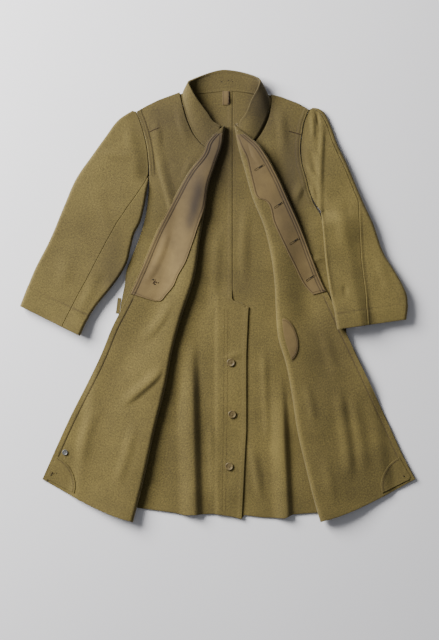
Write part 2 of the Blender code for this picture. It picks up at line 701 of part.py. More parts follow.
# Collar: a row for each station from the right front end, round the back, to the left front end,
# with the neck seam's and the top edge's x, y and height
COLLAR = [
    ("right end", (-14, 366, 5.4), (5, 426, 7.0)),
    ("right front", (-32, 380, 5.4), (-12, 436, 9.0)),
    ("right front", (-54, 404, 5.4), (-28, 458, 14.0)),
    ("right front", (-71, 438, 5.4), (-44, 479, 19.0)),
    ("right side", (-82, 472, 5.6), (-58, 499, 26.0)),
    ("right side", (-88, 497, 5.8), (-69, 519, 31.0)),
    ("right fold", (-87, 509, 5.8), (-74, 531, 30.0)),
    ("right fold", (-76, 513, 5.2), (-64, 538, 22.0)),
    ("back", (-58, 512, 3.6), (-41, 550, 13.0)),
    ("back", (-34, 513, 2.6), (-18, 559, 9.0)),
    ("back", (9, 517, 2.5), (9, 565, 7.5)),
    ("back", (40, 517.5, 2.5), (40, 563, 8.0)),
    ("back", (66, 514.5, 3.2), (66, 557, 11.0)),
    ("left fold", (94, 510, 5.2), (88, 548, 17.0)),
    ("left fold", (113, 509, 5.6), (102, 536, 26.0)),
    ("left side", (123, 499, 5.8), (99, 523, 29.0)),
    ("left side", (124, 471, 5.6), (82, 490, 21.0)),
    ("left front", (117, 441, 5.4), (67, 455, 15.0)),
    ("left front", (102, 411, 5.4), (53, 435, 10.0)),
    ("left end", (73, 367, 5.4), (52, 424, 7.5)),
]


def collar():
    """The band between the neck seam and the top edge, as two cloths with the seam's gap between them."""
    stations = np.linspace(0, 1, 33)
    neck = along([row[1] for row in COLLAR], stations)
    top = along([row[2] for row in COLLAR], stations)
    across = np.linspace(0, 1, 4)[None, :, None]
    between = neck[:, None, :] * (1 - across) + top[:, None, :] * across
    out = normals_of(between)
    if out[0, 0, 2] < 0:
        out = -out
    near, far = TRIM_GAP / 2, TRIM_GAP / 2 + COLLAR_CLOTH
    wall_between("collar_outer", between + out * far, between + out * near, WOOL_COLOUR)
    wall_between("collar_inner", between - out * near, between - out * far, WOOL_INSIDE_COLOUR)


def turned_disc(name, centre, base, profile, colour, metallic=0.0, sides=18):
    """A turned piece: a profile of radius and height, carried round an upright axis."""
    angles = np.arange(sides) * 2 * np.pi / sides
    rings = [
        np.stack([
            centre[0] + r * np.cos(angles),
            centre[1] + r * np.sin(angles),
            np.full(sides, base + h),
        ], axis=-1)
        for r, h in profile
    ]
    points = np.concatenate(rings)
    faces = []
    for k in range(len(profile) - 1):
        for i in range(sides):
            j = (i + 1) % sides
            faces.append((k * sides + i, k * sides + j, (k + 1) * sides + j, (k + 1) * sides + i))
    faces.append(tuple(reversed(range(sides))))
    faces.append(tuple(range((len(profile) - 1) * sides, len(profile) * sides)))
    return add_object(name, points, faces, colour, 0.45, metallic)


def button_profile(diameter, thickness, dish):
    """From the under side's middle out to the rim, over it, and down into the dish."""
    r = diameter / 2
    return [
        (r * 0.75, 0), (r * 0.96, thickness * 0.3), (r, thickness * 0.6), (r * 0.93, thickness),
        (r * 0.72, thickness), (r * 0.62, thickness - dish), (r * 0.2, thickness - dish),
    ]


VENT_BUTTON_DIAMETER, VENT_BUTTON_THICKNESS, VENT_BUTTON_DISH = 20.0, 3.2, 0.8
VENT_BUTTONS = [(31, -165), (34, -294), (27, -424)]
EDGE_BUTTON_DIAMETER, EDGE_BUTTON_THICKNESS, EDGE_BUTTON_DISH = 14.0, 2.6, 0.7
EDGE_BUTTON = (-383, -389)


def buttons():
    on_vent = BACK_MID + WOOL + LAYER_GAP + WOOL / 2 + TRIM_GAP
    profile = button_profile(VENT_BUTTON_DIAMETER, VENT_BUTTON_THICKNESS, VENT_BUTTON_DISH)
    for n, place in enumerate(VENT_BUTTONS, 1):
        turned_disc(f"vent_button_{n}", place, on_vent, profile, BUTTON_COLOUR)
    profile = button_profile(EDGE_BUTTON_DIAMETER, EDGE_BUTTON_THICKNESS, EDGE_BUTTON_DISH)
    turned_disc("edge_button_r", EDGE_BUTTON, WOOL + TRIM_GAP, profile, METAL_COLOUR, 0.7)


def strap(name, start, end, width, base, thickness, bow, colour):
    """A short strap between two points, bowed up in the middle."""
    t = np.linspace(0, 1, 9)[:, None]
    line = np.array(start, float) * (1 - t) + np.array(end, float) * t
    way = np.array(end, float) - np.array(start, float)
    across = np.array([-way[1], way[0]]) / np.linalg.norm(way)
    side = np.array([-0.5, 0.0, 0.5])[None, :, None] * width
    plan = line[:, None, :] + across[None, None, :] * side
    low = raised(plan, base + bow * np.sin(np.pi * t))
    high = low + np.array([0, 0, thickness])
    return wall_between(name, high, low, colour)


HANGER_START, HANGER_END = (18, 512), (18, 478)
HANGER_WIDTH, HANGER_THICKNESS, HANGER_BOW = 16.0, 1.6, 1.5
TAB_START, TAB_END = (-244.5, -24), (-254, -22.8)
TAB_WIDTH, TAB_THICKNESS = 40.0, 3.0


def small_pieces():
    strap(
        "hanger_loop", HANGER_START, HANGER_END, HANGER_WIDTH, WOOL + TRIM_GAP, HANGER_THICKNESS,
        HANGER_BOW, COTTON_COLOUR,
    )
    strap("side_tab_r", TAB_START, TAB_END, TAB_WIDTH, 0.0, TAB_THICKNESS, 0.0, WOOL_COLOUR)


def main():
    for old in list(bpy.data.objects):
        bpy.data.objects.remove(old)
    back_halves()
    turned_fronts()
    lying_front("front_r", SIDE_R, NECK_R, TURNED_R, -1)
    lying_front("front_l", SIDE_L, NECK_L, TURNED_L, 1)
    skins_on_fronts()
    sleeve_r()
    sleeve_l()
    collar()
    buttons()
    small_pieces()


main()
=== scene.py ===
# %% [markdown]
# A military overcoat, laid out to show how it was made. It is cut from thick felted wool with no
# lining, and lies on its back. Both fronts are turned back like the covers of a book, so the
# facings, the buttonhole strip and the inside of the back can be seen. The solid part gives the
# cut, the layers and the large folds. This script gives each cloth a fine surface with its seams,
# stitched bands, creases, flecks and wear, and puts a pale table, soft light and a camera round it.
# %% Load the solid part from model.glb
import bpy
import numpy as np
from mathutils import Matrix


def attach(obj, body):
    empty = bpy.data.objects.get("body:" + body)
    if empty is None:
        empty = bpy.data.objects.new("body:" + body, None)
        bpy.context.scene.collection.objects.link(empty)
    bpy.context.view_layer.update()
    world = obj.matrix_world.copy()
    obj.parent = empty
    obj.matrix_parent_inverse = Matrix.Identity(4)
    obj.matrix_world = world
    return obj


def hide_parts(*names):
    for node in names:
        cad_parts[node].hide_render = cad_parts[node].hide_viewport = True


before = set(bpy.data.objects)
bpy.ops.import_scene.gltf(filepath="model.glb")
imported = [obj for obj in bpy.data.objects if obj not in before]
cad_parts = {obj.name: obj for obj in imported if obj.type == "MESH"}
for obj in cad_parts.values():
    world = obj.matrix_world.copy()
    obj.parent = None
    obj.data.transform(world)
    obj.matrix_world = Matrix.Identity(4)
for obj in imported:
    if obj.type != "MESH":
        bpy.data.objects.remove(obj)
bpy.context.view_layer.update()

# %% [markdown]
# The outlines below are the coat's own sizes in millimetres, with x to the wearer's left and y
# towards the collar. They repeat the outlines that the solid part is cut to, because a fine
# surface that follows the same lines lies in the same place as the solid that it stands for.
# %% Cloths and outlines
MM = 0.001
WOOL = 2.4
COLLAR_CLOTH = 2.0
COTTON = 1.0
LAYER_GAP = 0.5
SEAM_GAP = 1.5
ARMHOLE_GAP = 0.2
HIDDEN_JOINT_GAP = 2.0
TRIM_GAP = 0.35
LIFT_ON_CURVE = 0.9
# Height on the plan of the armpit at the right side (-1) and at the left side (1)
ARMPIT_Y = {-1: 330.0, 1: 250.0}

BACK_MID = WOOL / 2
FRONT_MID = BACK_MID + WOOL + LAYER_GAP
TURNED_MID = FRONT_MID + WOOL + 2 * LAYER_GAP
COLLAR_REST_MID = 13.5

SIDE_R = [
    (-205, 461), (-194, 431), (-185, 401), (-179, 374), (-175, 341), (-174, 309),
    (-176, 266), (-181, 216), (-188, 181), (-201, 141), (-219, 96), (-229, 71),
    (-236, 26), (-241, 1), (-259, -134), (-276, -259), (-296, -384), (-316, -509),
]
SIDE_L = [
    (226, 466), (214, 436), (208, 404), (205, 369), (209, 328), (218, 296),
    (229, 255), (241, 229), (252, 212), (262, 179), (267, 154), (276, 116),
    (287, 86), (299, 54), (309, 1), (326, -134), (344, -259), (364, -384), (384, -509),
]
NECK_R = [(-19, 361), (-36, 375), (-59, 401), (-76, 436), (-87, 472), (-93, 498), (-95, 510)]
NECK_L = [(79, 363), (92, 388), (108, 411), (122, 441), (129, 471), (131, 494), (128, 504)]
BACK_TOP = [
    (-205, 461), (-179, 476), (-149, 491), (-96, 506), (-39, 510), (9, 515), (34, 516),
    (61, 513), (83, 508), (116, 504), (154, 499), (201, 481), (226, 466),
]
BACK_HEM = [
    (-316, -504), (-196, -529), (-112, -540), (-84, -546), (-14, -543), (30, -549),
    (58, -556), (63, -546), (111, -552), (165, -554), (184, -545), (245, -540), (384, -504),
]
FRONT_HEM = [(-316, -500), (-240, -522), (-190, -538), (250, -538), (320, -520), (384, -500)]
VENT_EDGE = [
    (34.3, 518), (34.3, -9), (76, -25), (74, -54), (70, -146), (70, -334), (68, -369), (58, -560),
]
UNDERLAP_EDGE = [(34.7, 518), (34.7, -52), (12, -66), (10, -560)]
FOLD_R = [
    (15, 426), (9, 381), (-8, 331), (-25, 279), (-35, 214), (-47, 144), (-60, 54),
    (-96, -59), (-116, -134), (-133, -224), (-158, -324), (-189, -464), (-214, -562),
]
EDGE_R = [
    (4, 417), (-31, 381), (-37, 362), (-75, 310), (-115, 239), (-155, 162), (-198, 61),
    (-228, -5), (-269, -86), (-288, -134), (-374, -309), (-440, -456),
]
FOLD_L = [
    (41, 424), (49, 379), (66, 316), (86, 246), (114, 176), (131, 106), (141, 29),
    (144, -34), (149, -98), (170, -171), (186, -259), (195, -320), (220, -431),
    (240, -511), (255, -562),
]
EDGE_L = [
    (51, 416), (85, 391), (96, 382), (123, 346), (145, 306), (177, 236), (207, 169),
    (236, 94), (257, 41), (281, -9), (316, -86), (328, -111), (432, -334), (460, -395),
    (492, -456),
]
print("outlines:", len(SIDE_R) + len(SIDE_L) + len(FOLD_R) + len(FOLD_L), "points on sides and folds")

# %% [markdown]
# A pattern cutter draws smooth lines through a few measured points. The helpers here do the same
# for whole arrays at once: a cubic through the points, a place at a share of a line's length, and
# the direction that a surface faces, which is the cross product of its two directions.
# %% Helpers for lines and surfaces
def smooth_step(t):
    """0 below 0, 1 above 1, and the cubic 3t^2 - 2t^3 between."""
    t = np.clip(t, 0.0, 1.0)
    return t * t * (3 - 2 * t)


def through(knots, values, at):
    """A smooth curve through values at knots: cubic pieces whose slopes are the chords on both sides."""
    knots, values = np.asarray(knots, float), np.asarray(values, float)
    at = np.clip(at, knots[0], knots[-1])
    slopes = np.gradient(values, knots)
    i = np.clip(np.searchsorted(knots, at, side="right") - 1, 0, len(knots) - 2)
    span = knots[i + 1] - knots[i]
    t = (at - knots[i]) / span
    return (
        values[i] * (1 + 2 * t) * (1 - t) ** 2
        + slopes[i] * span * t * (1 - t) ** 2
        + values[i + 1] * t * t * (3 - 2 * t)
        + slopes[i + 1] * span * t * t * (t - 1)
    )


def x_at(outline, y, sharp=False):
    """x of an outline that runs down, at heights y."""
    knots, values = zip(*sorted((p[1], p[0]) for p in outline))
    return np.interp(y, knots, values) if sharp else through(knots, values, y)


def y_at(outline, x):
    """y of an outline that runs across, at places x."""
    knots, values = zip(*sorted(outline))
    return np.interp(x, knots, values)


def along(line, fractions):
    """Points at fractions of a line's length, smooth through its own points."""
    points = np.asarray(line, float)
    steps = np.linalg.norm(np.diff(points, axis=0), axis=1)
    length = np.concatenate([[0.0], np.cumsum(steps)])
    at = np.asarray(fractions, float) * length[-1]
    return np.stack([through(length, points[:, k], at) for k in range(points.shape[1])], axis=-1)


def spaced(*stops):
    """Values from the first stop to the last, given as value, spans, value, spans, ..., value."""
    values, spans = stops[0::2], stops[1::2]
    parts = [
        np.linspace(low, high, count, endpoint=False)
        for low, high, count in zip(values[:-1], values[1:], spans)
    ]
    return np.concatenate([*parts, [values[-1]]])


def piecewise(start, *spans_and_ends):
    """As spaced, with an array of values, one for each row, at every stop."""
    spans, ends = spans_and_ends[0::2], spans_and_ends[1::2]
    parts, low = [], start
    for count, high in zip(spans, ends):
        share = np.arange(count) / count
        parts.append(low[:, None] + (high - low)[:, None] * share[None, :])
        low = high
    return np.concatenate([*parts, low[:, None]], axis=1)


def shifted(outline, dx):
    return [(x + dx, y) for x, y in outline]


def sewn_side(side, outward):
    """A side line moved in by the room for its seam, which is narrow round the armhole."""
    armpit = ARMPIT_Y[outward]
    return [(x - outward * (ARMHOLE_GAP if y > armpit else SEAM_GAP), y) for x, y in side]


def unit(vectors):
    return vectors / np.maximum(np.linalg.norm(vectors, axis=-1, keepdims=True), 1e-9)


def normals_of(grid):
    """Unit normals of a grid of points, from the cross product of its two directions."""
    return unit(np.cross(np.gradient(grid, axis=1), np.gradient(grid, axis=0)))


# %% [markdown]
# Each cloth is one closed thin wall. It could be a plane with a Solidify modifier, but a wall
# built from its own two faces lets the shown face carry stitched bands while the hidden face
# stays smooth, and its rim can be round, as thick felted wool is where it is cut or turned.
# The wall's map runs in metres across and down the cloth, so that its weave has a true scale.
# %% A thin wall from a grid of points
RIM_ANGLES = np.radians([60, 25, -25, -60])


def grid_faces(rows, columns):
    """The squares of a grid of points that are numbered row by row."""
    index = np.arange(rows * columns).reshape(rows, columns)
    corners = [index[:-1, :-1], index[:-1, 1:], index[1:, 1:], index[1:, :-1]]
    return np.stack(corners, axis=-1).reshape(-1, 4)


def border_of(rows, columns):
    """The numbers of a grid's border points, once round."""
    index = np.arange(rows * columns).reshape(rows, columns)
    return np.concatenate([index[0, :], index[1:, -1], index[-1, -2::-1], index[-2:0:-1, 0]])


def rim_faces(border, count, rings):
    """Squares from the shown face's border, over rings of points, to the hidden face's border."""
    numbers = 2 * count + np.arange(rings * len(border)).reshape(rings, len(border))
    loops = np.vstack([border, numbers, border + count])
    after = np.roll(loops, -1, axis=1)
    return np.stack([loops[:-1], loops[1:], after[1:], after[:-1]], axis=-1).reshape(-1, 4)


def way_outward(grid):
    """For border points, the unit way from the next point inside. It is 0 inside the grid."""
    rows, columns = grid.shape[:2]
    i, j = np.indices((rows, columns))
    return unit(grid - grid[np.clip(i, 1, rows - 2), np.clip(j, 1, columns - 2)])


def six_volumes(points, faces):
    """Six times the volume inside closed faces: the triple products of each face's fan of
    triangles. It is below 0 where the faces point in."""
    first, last = points[faces[:, 0]], faces.shape[1] - 1
    fans = [np.cross(points[faces[:, k]], points[faces[:, k + 1]]) for k in range(1, last)]
    return sum((first * fan).sum() for fan in fans)


def add_mesh(name, points, faces, cloth_map=None, shade=None):
    """Puts points, in millimetres, and faces into an object, turned so that the faces point out."""
    parts = faces if isinstance(faces, tuple) else (faces,)
    if sum(six_volumes(points, part) for part in parts) < 0:
        parts = [part[:, ::-1] for part in parts]
    mesh = bpy.data.meshes.new(name)
    mesh.from_pydata((points * MM).tolist(), [], [face for part in parts for face in part.tolist()])
    mesh.shade_smooth()
    if cloth_map is not None:
        corner = np.empty(len(mesh.loops), np.int32)
        mesh.loops.foreach_get("vertex_index", corner)
        mesh.uv_layers.new(name="cloth").data.foreach_set("uv", (cloth_map[corner] * MM).ravel())
    values = np.zeros(len(points)) if shade is None else shade
    mesh.attributes.new("shade", "FLOAT", "POINT").data.foreach_set("value", values.astype(np.float32))
    made = bpy.data.objects.new(name, mesh)
    bpy.context.scene.collection.objects.link(made)
    return made


def lengths_along(grid, axis):
    """The way walked along a grid's rows or columns, from its first point."""
    steps = np.linalg.norm(np.diff(grid, axis=axis), axis=-1)
    pad = [(0, 0), (0, 0)]
    pad[axis] = (1, 0)
    return np.cumsum(np.pad(steps, pad), axis=axis)


def wall(name, middle, thickness, relief=0.0, shade=0.0, shown=slice(None), facing=None):
    """A closed wall about a grid of middle points. The shown face lies half the thickness and the
    relief out along the normals, the hidden face half the thickness the other way, and the rim
    is a half circle drawn inside the grid's border. Shown picks the columns that look up."""
    rows, columns = middle.shape[:2]
    count, half = rows * columns, thickness / 2
    out, outward = normals_of(middle), way_outward(middle)
    if facing is None:
        facing = np.sign(out[:, shown, 2].mean())
    out = out * facing
    cloth_map = np.stack([lengths_along(middle, 1), lengths_along(middle, 0)], axis=-1).reshape(-1, 2)
    middle = middle - outward * half
    relief = np.broadcast_to(relief, (rows, columns))[..., None]
    face, back = middle + out * (half + relief), middle - out * half
    border = border_of(rows, columns)
    rings = [
        (middle + outward * half * np.cos(a) + out * (half + relief / 2) * np.sin(a) + out * relief / 2)
        .reshape(-1, 3)[border]
        for a in RIM_ANGLES
    ]
    points = np.concatenate([face.reshape(-1, 3), back.reshape(-1, 3), *rings])
    squares = grid_faces(rows, columns)
    faces = np.concatenate([squares, squares[:, ::-1] + count, rim_faces(border, count, len(rings))])
    tone = np.broadcast_to(shade, (rows, columns)).ravel() + patch_tone_and_shade(middle[..., 0], middle[..., 1]).ravel()
    repeated = np.concatenate([np.arange(count), np.arange(count), *[border] * len(rings)])
    made = add_mesh(name, points, faces, cloth_map[repeated], tone[repeated])
    print(f"{name}: {len(faces) * 2} triangles, {area_of(middle):.3f} square metres of cloth")
    return made


def area_of(grid):
    """Area in square metres of a grid of points in millimetres, from its squares' diagonals."""
    first, second = grid[1:, 1:] - grid[:-1, :-1], grid[1:, :-1] - grid[:-1, 1:]
    return float(np.linalg.norm(np.cross(first, second), axis=-1).sum()) / 2 * MM * MM


# %% [markdown]
# Wool that has been folded for decades never lies dead flat. Two things give it life: broad low
# hills that all the layers follow together, so that none cuts into the next, and single creases
# that belong to one cloth. A crease is a line on the table with a height and a width on each
# side. Across it the height falls as a cosine bell, and it fades out at both ends.
# %% Hills and creases
def waves(x, y, size, seed, count=9):
    """Soft hills of about -1 to 1: a sum of sine waves with seeded ways, phases and lengths."""
    chance = np.random.default_rng(seed)
    total = np.zeros(np.broadcast(x, y).shape)
    for _ in range(count):
        angle, phase = chance.uniform(0, 2 * np.pi, 2)
        length = size * chance.uniform(1, 2)
        total += np.sin((x * np.cos(angle) + y * np.sin(angle)) * 2 * np.pi / length + phase)
    return total / np.sqrt(2 * count)


HILL_SIZE, HILL_HEIGHT = 130.0, 2.6
RUMPLE_SIZE, RUMPLE_HEIGHT = 42.0, 0.5


def lie(x, y):
    """How far every layer stands off the table: broad hills and a finer rumple, never below 0."""
    hills = 1 + waves(x, y, HILL_SIZE, 11)
    rumple = 1 + waves(x, y, RUMPLE_SIZE, 12)
    return HILL_HEIGHT * smooth_max(hills) + RUMPLE_HEIGHT * smooth_max(rumple)


def smooth_max(t, corner=0.15):
    """t above 0 and nearly 0 below it, with a rounded corner."""
    return (t + np.sqrt(t * t + corner)) / 2


def crease(x, y, line, height, left, right, taper=45.0):
    """A ridge along a line, or a trough where the height is negative. Left and right are its half
    widths on each side of the line's way, and it fades over the taper at both ends."""
    points = along(line, np.linspace(0, 1, 6 * len(line)))
    start, step = points[:-1], np.diff(points, axis=0)
    length = np.linalg.norm(step, axis=1)
    way = step / length[:, None]
    off = np.stack([x, y], axis=-1)[..., None, :] - start
    ahead = np.clip((off * way).sum(-1), 0, length)
    distance = np.linalg.norm(off - ahead[..., None] * way, axis=-1)
    nearest = distance.argmin(-1)[..., None]
    side = np.take_along_axis(way[:, 0] * off[..., 1] - way[:, 1] * off[..., 0], nearest, -1)[..., 0]
    distance = np.take_along_axis(distance, nearest, -1)[..., 0]
    before = np.concatenate([[0.0], np.cumsum(length)[:-1]])
    walked = np.take_along_axis(before + ahead, nearest, -1)[..., 0]
    ends = smooth_step(walked / taper) * smooth_step((length.sum() - walked) / taper)
    width = np.where(side > 0, left, right)
    return height * ends * np.cos(np.clip(distance / width, 0, 1) * np.pi / 2) ** 2


def creases(x, y, table):
    """The sum of a table's creases: height, half widths left and right, taper, and the line."""
    total = np.zeros(np.broadcast(x, y).shape)
    for height, left, right, taper, line in table:
        total = total + crease(x, y, line, height, left, right, taper)
    return total


# %% [markdown]
# The coat isn't one tone all over. Its tone is given as soft round patches on the table's plan, so
# that neighbouring pieces change together. Many patches are painted shade: the dark bands beside the
# right front's fold and on its facing, the cloth beside the buttonhole strip, the left front's upper
# wing, under the right sleeve and round the collar, where the rolls and the collar shade the cloth.
# The others make it darker round the neck, the chest and the right sleeve, and paler on the left
# sleeve and the skirt.
# %% Tone patches and painted shade
# Middle x and y, half sizes across and down, and the change of tone, where below 0 is darker
# Many of these patches are painted shade, above all the strong dark ones beside the right front's fold
TONE_AND_SHADE_PATCHES = [
    (10, 440, 190, 110, -0.32), (-120, 300, 70, 150, -0.26), (185, 300, 50, 190, -0.26),
    (40, 170, 70, 240, -0.22), (270, -150, 70, 110, -0.24), (112, 470, 34, 70, -0.30),
    (-330, 150, 150, 260, -0.16), (130, -320, 60, 160, 0.08), (-60, -420, 90, 140, -0.08),
    (330, -400, 80, 90, -0.06), (410, 60, 70, 120, 0.14), (-75, 250, 60, 120, -0.24),
    (-150, 450, 60, 50, -0.30), (180, 300, 30, 120, -0.34), (-262, 60, 30, 90, -0.34),
    (20, 545, 80, 30, -0.26), (100, 500, 30, 50, -0.25), (-330, 180, 120, 160, -0.08),
    (-48, 262, 16, 34, -0.50), (-60, 218, 15, 32, -0.50), (-72, 180, 14, 26, -0.38),
    (-8, 350, 40, 70, -0.40), (320, 120, 50, 160, 0.12), (40, -300, 40, 200, 0.10),
]


def patch_tone_and_shade(x, y):
    """The tone at a place: a sum of soft patches of tone and painted shade, each falling off as a bell curve.
    """
    tone = np.zeros(np.broadcast(x, y).shape)
    for middle_x, middle_y, across, down, change in TONE_AND_SHADE_PATCHES:
        tone += change * np.exp(-(((x - middle_x) / across) ** 2) - ((y - middle_y) / down) ** 2)
    return tone + 0.05 * waves(x, y, 90.0, 21)


# %% [markdown]
# A shader is a sum of small patterns, and sums read best as sums. A Wire holds one value of a
# material, and adding or multiplying wires adds the Math nodes. A Finish holds one material and
# one way to add any other node: its kind, its settings, and what goes into its sockets.
# %% A short way to write materials
class Wire:
    """A value in a material, held by a node's output."""

    def __init__(self, finish, socket):
        self.finish, self.socket = finish, socket

    def maths(self, operation, first, second):
        return self.finish.wire("ShaderNodeMath", {"operation": operation}, {0: first, 1: second})

    def __add__(self, other):
        return self.maths("ADD", self, other)

    def __radd__(self, other):
        return self.maths("ADD", other, self)

    def __sub__(self, other):
        return self.maths("SUBTRACT", self, other)

    def __rsub__(self, other):
        return self.maths("SUBTRACT", other, self)

    def __mul__(self, other):
        return self.maths("MULTIPLY", self, other)

    def __rmul__(self, other):
        return self.maths("MULTIPLY", other, self)

    def stretched(self, low, high, to_low=0.0, to_high=1.0):
        """The range from low to high carried over to a new range, and held there."""
        sockets = {"Value": self, "From Min": low, "From Max": high, "To Min": to_low, "To Max": to_high}
        return self.finish.wire("ShaderNodeMapRange", {"clamp": True}, sockets)


class Finish:
    """A material, with its constants set on the shader's own sockets."""

    def __init__(self, name, constants):
        self.material = bpy.data.materials.new(name)
        self.material.use_nodes = True
        self.tree = self.material.node_tree
        self.shader = self.tree.nodes["Principled BSDF"]
        for socket, value in constants.items():
            self.shader.inputs[socket].default_value = value

    def plug(self, socket, value):
        if isinstance(value, Wire):
            self.tree.links.new(value.socket, socket)
        else:
            socket.default_value = value

    def node(self, kind, settings=None, sockets=None):
        """Adds a node, sets its settings first, and then fills its sockets."""
        made = self.tree.nodes.new(kind)
        for name, value in (settings or {}).items():
            setattr(made, name, value)
        for name, value in (sockets or {}).items():
            self.plug(made.inputs[name], value)
        return made

    def wire(self, kind, settings=None, sockets=None, output=0):
        return Wire(self, self.node(kind, settings, sockets).outputs[output])

    def turned(self, vector, scale, angle=0.0):
        """A pattern's place, turned about Z by an angle and stretched."""
        sockets = {"Vector": vector, "Rotation": (0.0, 0.0, angle), "Scale": scale}
        return self.wire("ShaderNodeMapping", None, sockets)

    def noise(self, vector, scale, detail=2.0, rough=0.5):
        sockets = {"Vector": vector, "Scale": scale, "Detail": detail, "Roughness": rough}
        return self.wire("ShaderNodeTexNoise", None, sockets)

    def mixed(self, factor, first, second):
        """A colour between two colours."""
        return self.wire("ShaderNodeMix", {"data_type": "RGBA"}, {0: factor, 6: first, 7: second}, 2)

    def toned(self, colour, dark):
        """A colour taken towards a dark one where the piece's own shade is below 0: painted shade and soil.
        """
        wear_and_painted_shade = self.wire("ShaderNodeAttribute", {"attribute_name": "shade"}, output=2)
        return self.mixed((wear_and_painted_shade * -1.0).stretched(0.0, 1.0), colour, dark)

    def surface(self, colour, height=None, distance=0.0005, strength=0.5, roughness=None):
        """Ends the material: its colour, and a height that its Bump node turns into a normal."""
        self.plug(self.shader.inputs["Base Color"], colour)
        if roughness is not None:
            self.plug(self.shader.inputs["Roughness"], roughness)
        if height is not None:
            sockets = {"Strength": strength, "Distance": distance, "Height": height}
            self.plug(self.shader.inputs["Normal"], self.wire("ShaderNodeBump", None, sockets))
        return self.material


# %% [markdown]
# Army greatcoat wool is woven from yarn that was dyed as loose fibre, so khaki, olive and brown
# hairs lie side by side. Then it is fulled until the weave closes under a short nap. The finish
# follows that: flecks of two browns over the khaki, a faint twill under them, hairs as a stretched
# noise, and slow random patches. The piece's shade attribute then makes it paler in places, and
# darker with painted shade in grooves and beside folds, and with soil. A little sheen gives the
# nap its pale edge from the side.
# %% Wool
# The dark colour that a cloth's shade attribute takes it towards: painted shade in grooves and beside folds,
# and soil
SHADE_AND_SOIL = (0.018, 0.010, 0.004, 1)


def wool_finish(name, khaki, shadow, brown, patch_change=0.16):
    finish = Finish(name, {"Roughness": 0.92, "Sheen Weight": 0.25, "Sheen Roughness": 0.45})
    finish.shader.inputs["Sheen Tint"].default_value = (0.86, 0.80, 0.62, 1.0)
    cloth = finish.wire("ShaderNodeUVMap", {"uv_map": "cloth"})
    place = finish.wire("ShaderNodeTexCoord", output=3)
    fleck = finish.noise(cloth, 300.0, 3.0, 0.65).stretched(0.32, 0.68)
    brown_fleck = finish.noise(finish.turned(cloth, (1.0, 1.6, 1.0), 0.6), 230.0, 2.0, 0.6)
    hair = finish.noise(finish.turned(cloth, (420.0, 1500.0, 1.0), 0.5), 1.0, 3.0, 0.7)
    cross_hair = finish.noise(finish.turned(cloth, (1300.0, 380.0, 1.0), -0.3), 1.0, 3.0, 0.7)
    twill = finish.wire(
        "ShaderNodeTexWave", {"bands_direction": "DIAGONAL"},
        {"Vector": cloth, "Scale": 140.0, "Distortion": 2.5, "Detail": 2.0, "Detail Scale": 3.0}, 1,
    )
    patch = finish.noise(place, 7.0, 3.0, 0.55).stretched(0.3, 0.7)
    rub = finish.noise(place, 38.0, 2.0, 0.5).stretched(0.3, 0.7)
    # The shade attribute carries painted shade and soil below 0, and paler patches above 0
    wear_and_painted_shade = finish.wire("ShaderNodeAttribute", {"attribute_name": "shade"}, output=2)
    paler = wear_and_painted_shade.stretched(0.0, 1.0)
    mottle = finish.noise(cloth, 240.0, 2.0, 0.6).stretched(0.34, 0.66)
    amount = 0.44 + 0.40 * (fleck - 0.5) + 0.34 * (mottle - 0.5)
    amount = amount + 0.30 * (hair - 0.5) + 0.10 * (twill - 0.5)
    amount = amount + patch_change * (patch - 0.5) + 0.10 * (rub - 0.5) + paler
    ground = finish.mixed(amount.stretched(0.0, 1.0), shadow, khaki)
    colour = finish.mixed(brown_fleck.stretched(0.52, 0.70, 0.0, 0.55), ground, brown)
    colour = finish.toned(colour, SHADE_AND_SOIL)
    height = 0.5 * fleck + 0.6 * hair + 0.5 * cross_hair + 0.3 * twill
    return finish.surface(colour, height, 0.0007, 0.55)


KHAKI, SHADOW, BROWN = (0.196, 0.150, 0.036, 1), (0.048, 0.036, 0.008, 1), (0.090, 0.056, 0.015, 1)
wool = wool_finish("wool", KHAKI, SHADOW, BROWN)
INSIDE_KHAKI = (0.194, 0.147, 0.035, 1)
wool_inside = wool_finish("wool_inside", INSIDE_KHAKI, SHADOW, BROWN, 0.18)
print("wool:", len(wool.node_tree.nodes), "nodes")

# %% [markdown]
# The facings are a plain cotton drill, browner and smoother than the wool. Two sets of waves
# across each other make its threads, and a stretched noise makes the uneven yarn that catches
# the eye before the weave does.
# %% Cotton, thread, button and metal
def cotton_finish(name, light, dark):
    finish = Finish(name, {"Roughness": 0.85, "Sheen Weight": 0.1, "Sheen Roughness": 0.5})
    cloth = finish.wire("ShaderNodeUVMap", {"uv_map": "cloth"})
    place = finish.wire("ShaderNodeTexCoord", output=3)
    threads = {"Scale": 330.0, "Distortion": 0.6, "Detail": 1.0, "Vector": cloth}
    warp = finish.wire("ShaderNodeTexWave", {"bands_direction": "X"}, threads, 1)
    weft = finish.wire("ShaderNodeTexWave", {"bands_direction": "Y"}, threads, 1)
    yarn = finish.noise(finish.turned(cloth, (700.0, 60.0, 1.0)), 1.0, 2.0)
    stain = finish.noise(place, 16.0, 3.0, 0.6).stretched(0.32, 0.68)
    amount = 0.55 + 0.16 * (warp - 0.5) + 0.16 * (weft - 0.5) + 0.25 * (yarn - 0.5)
    amount = amount + 0.45 * (stain - 0.5)
    colour = finish.toned(finish.mixed(amount.stretched(0.0, 1.0), dark, light), SHADE_AND_SOIL)
    return finish.surface(colour, 0.5 * warp + 0.5 * weft, 0.0003, 0.4)


def plain_finish(name, light, dark, scale, roughness, metallic=0.0):
    """A small piece's finish: two tones mixed by a noise, with a faint grain."""
    finish = Finish(name, {"Metallic": metallic})
    place = finish.wire("ShaderNodeTexCoord", output=3)
    cloud = finish.noise(place, scale, 3.0, 0.6).stretched(0.3, 0.7)
    grain = finish.noise(place, scale * 9, 2.0)
    colour = finish.mixed(cloud, dark, light)
    return finish.surface(colour, grain, 0.0002, 0.3, (cloud * 0.15) + roughness)


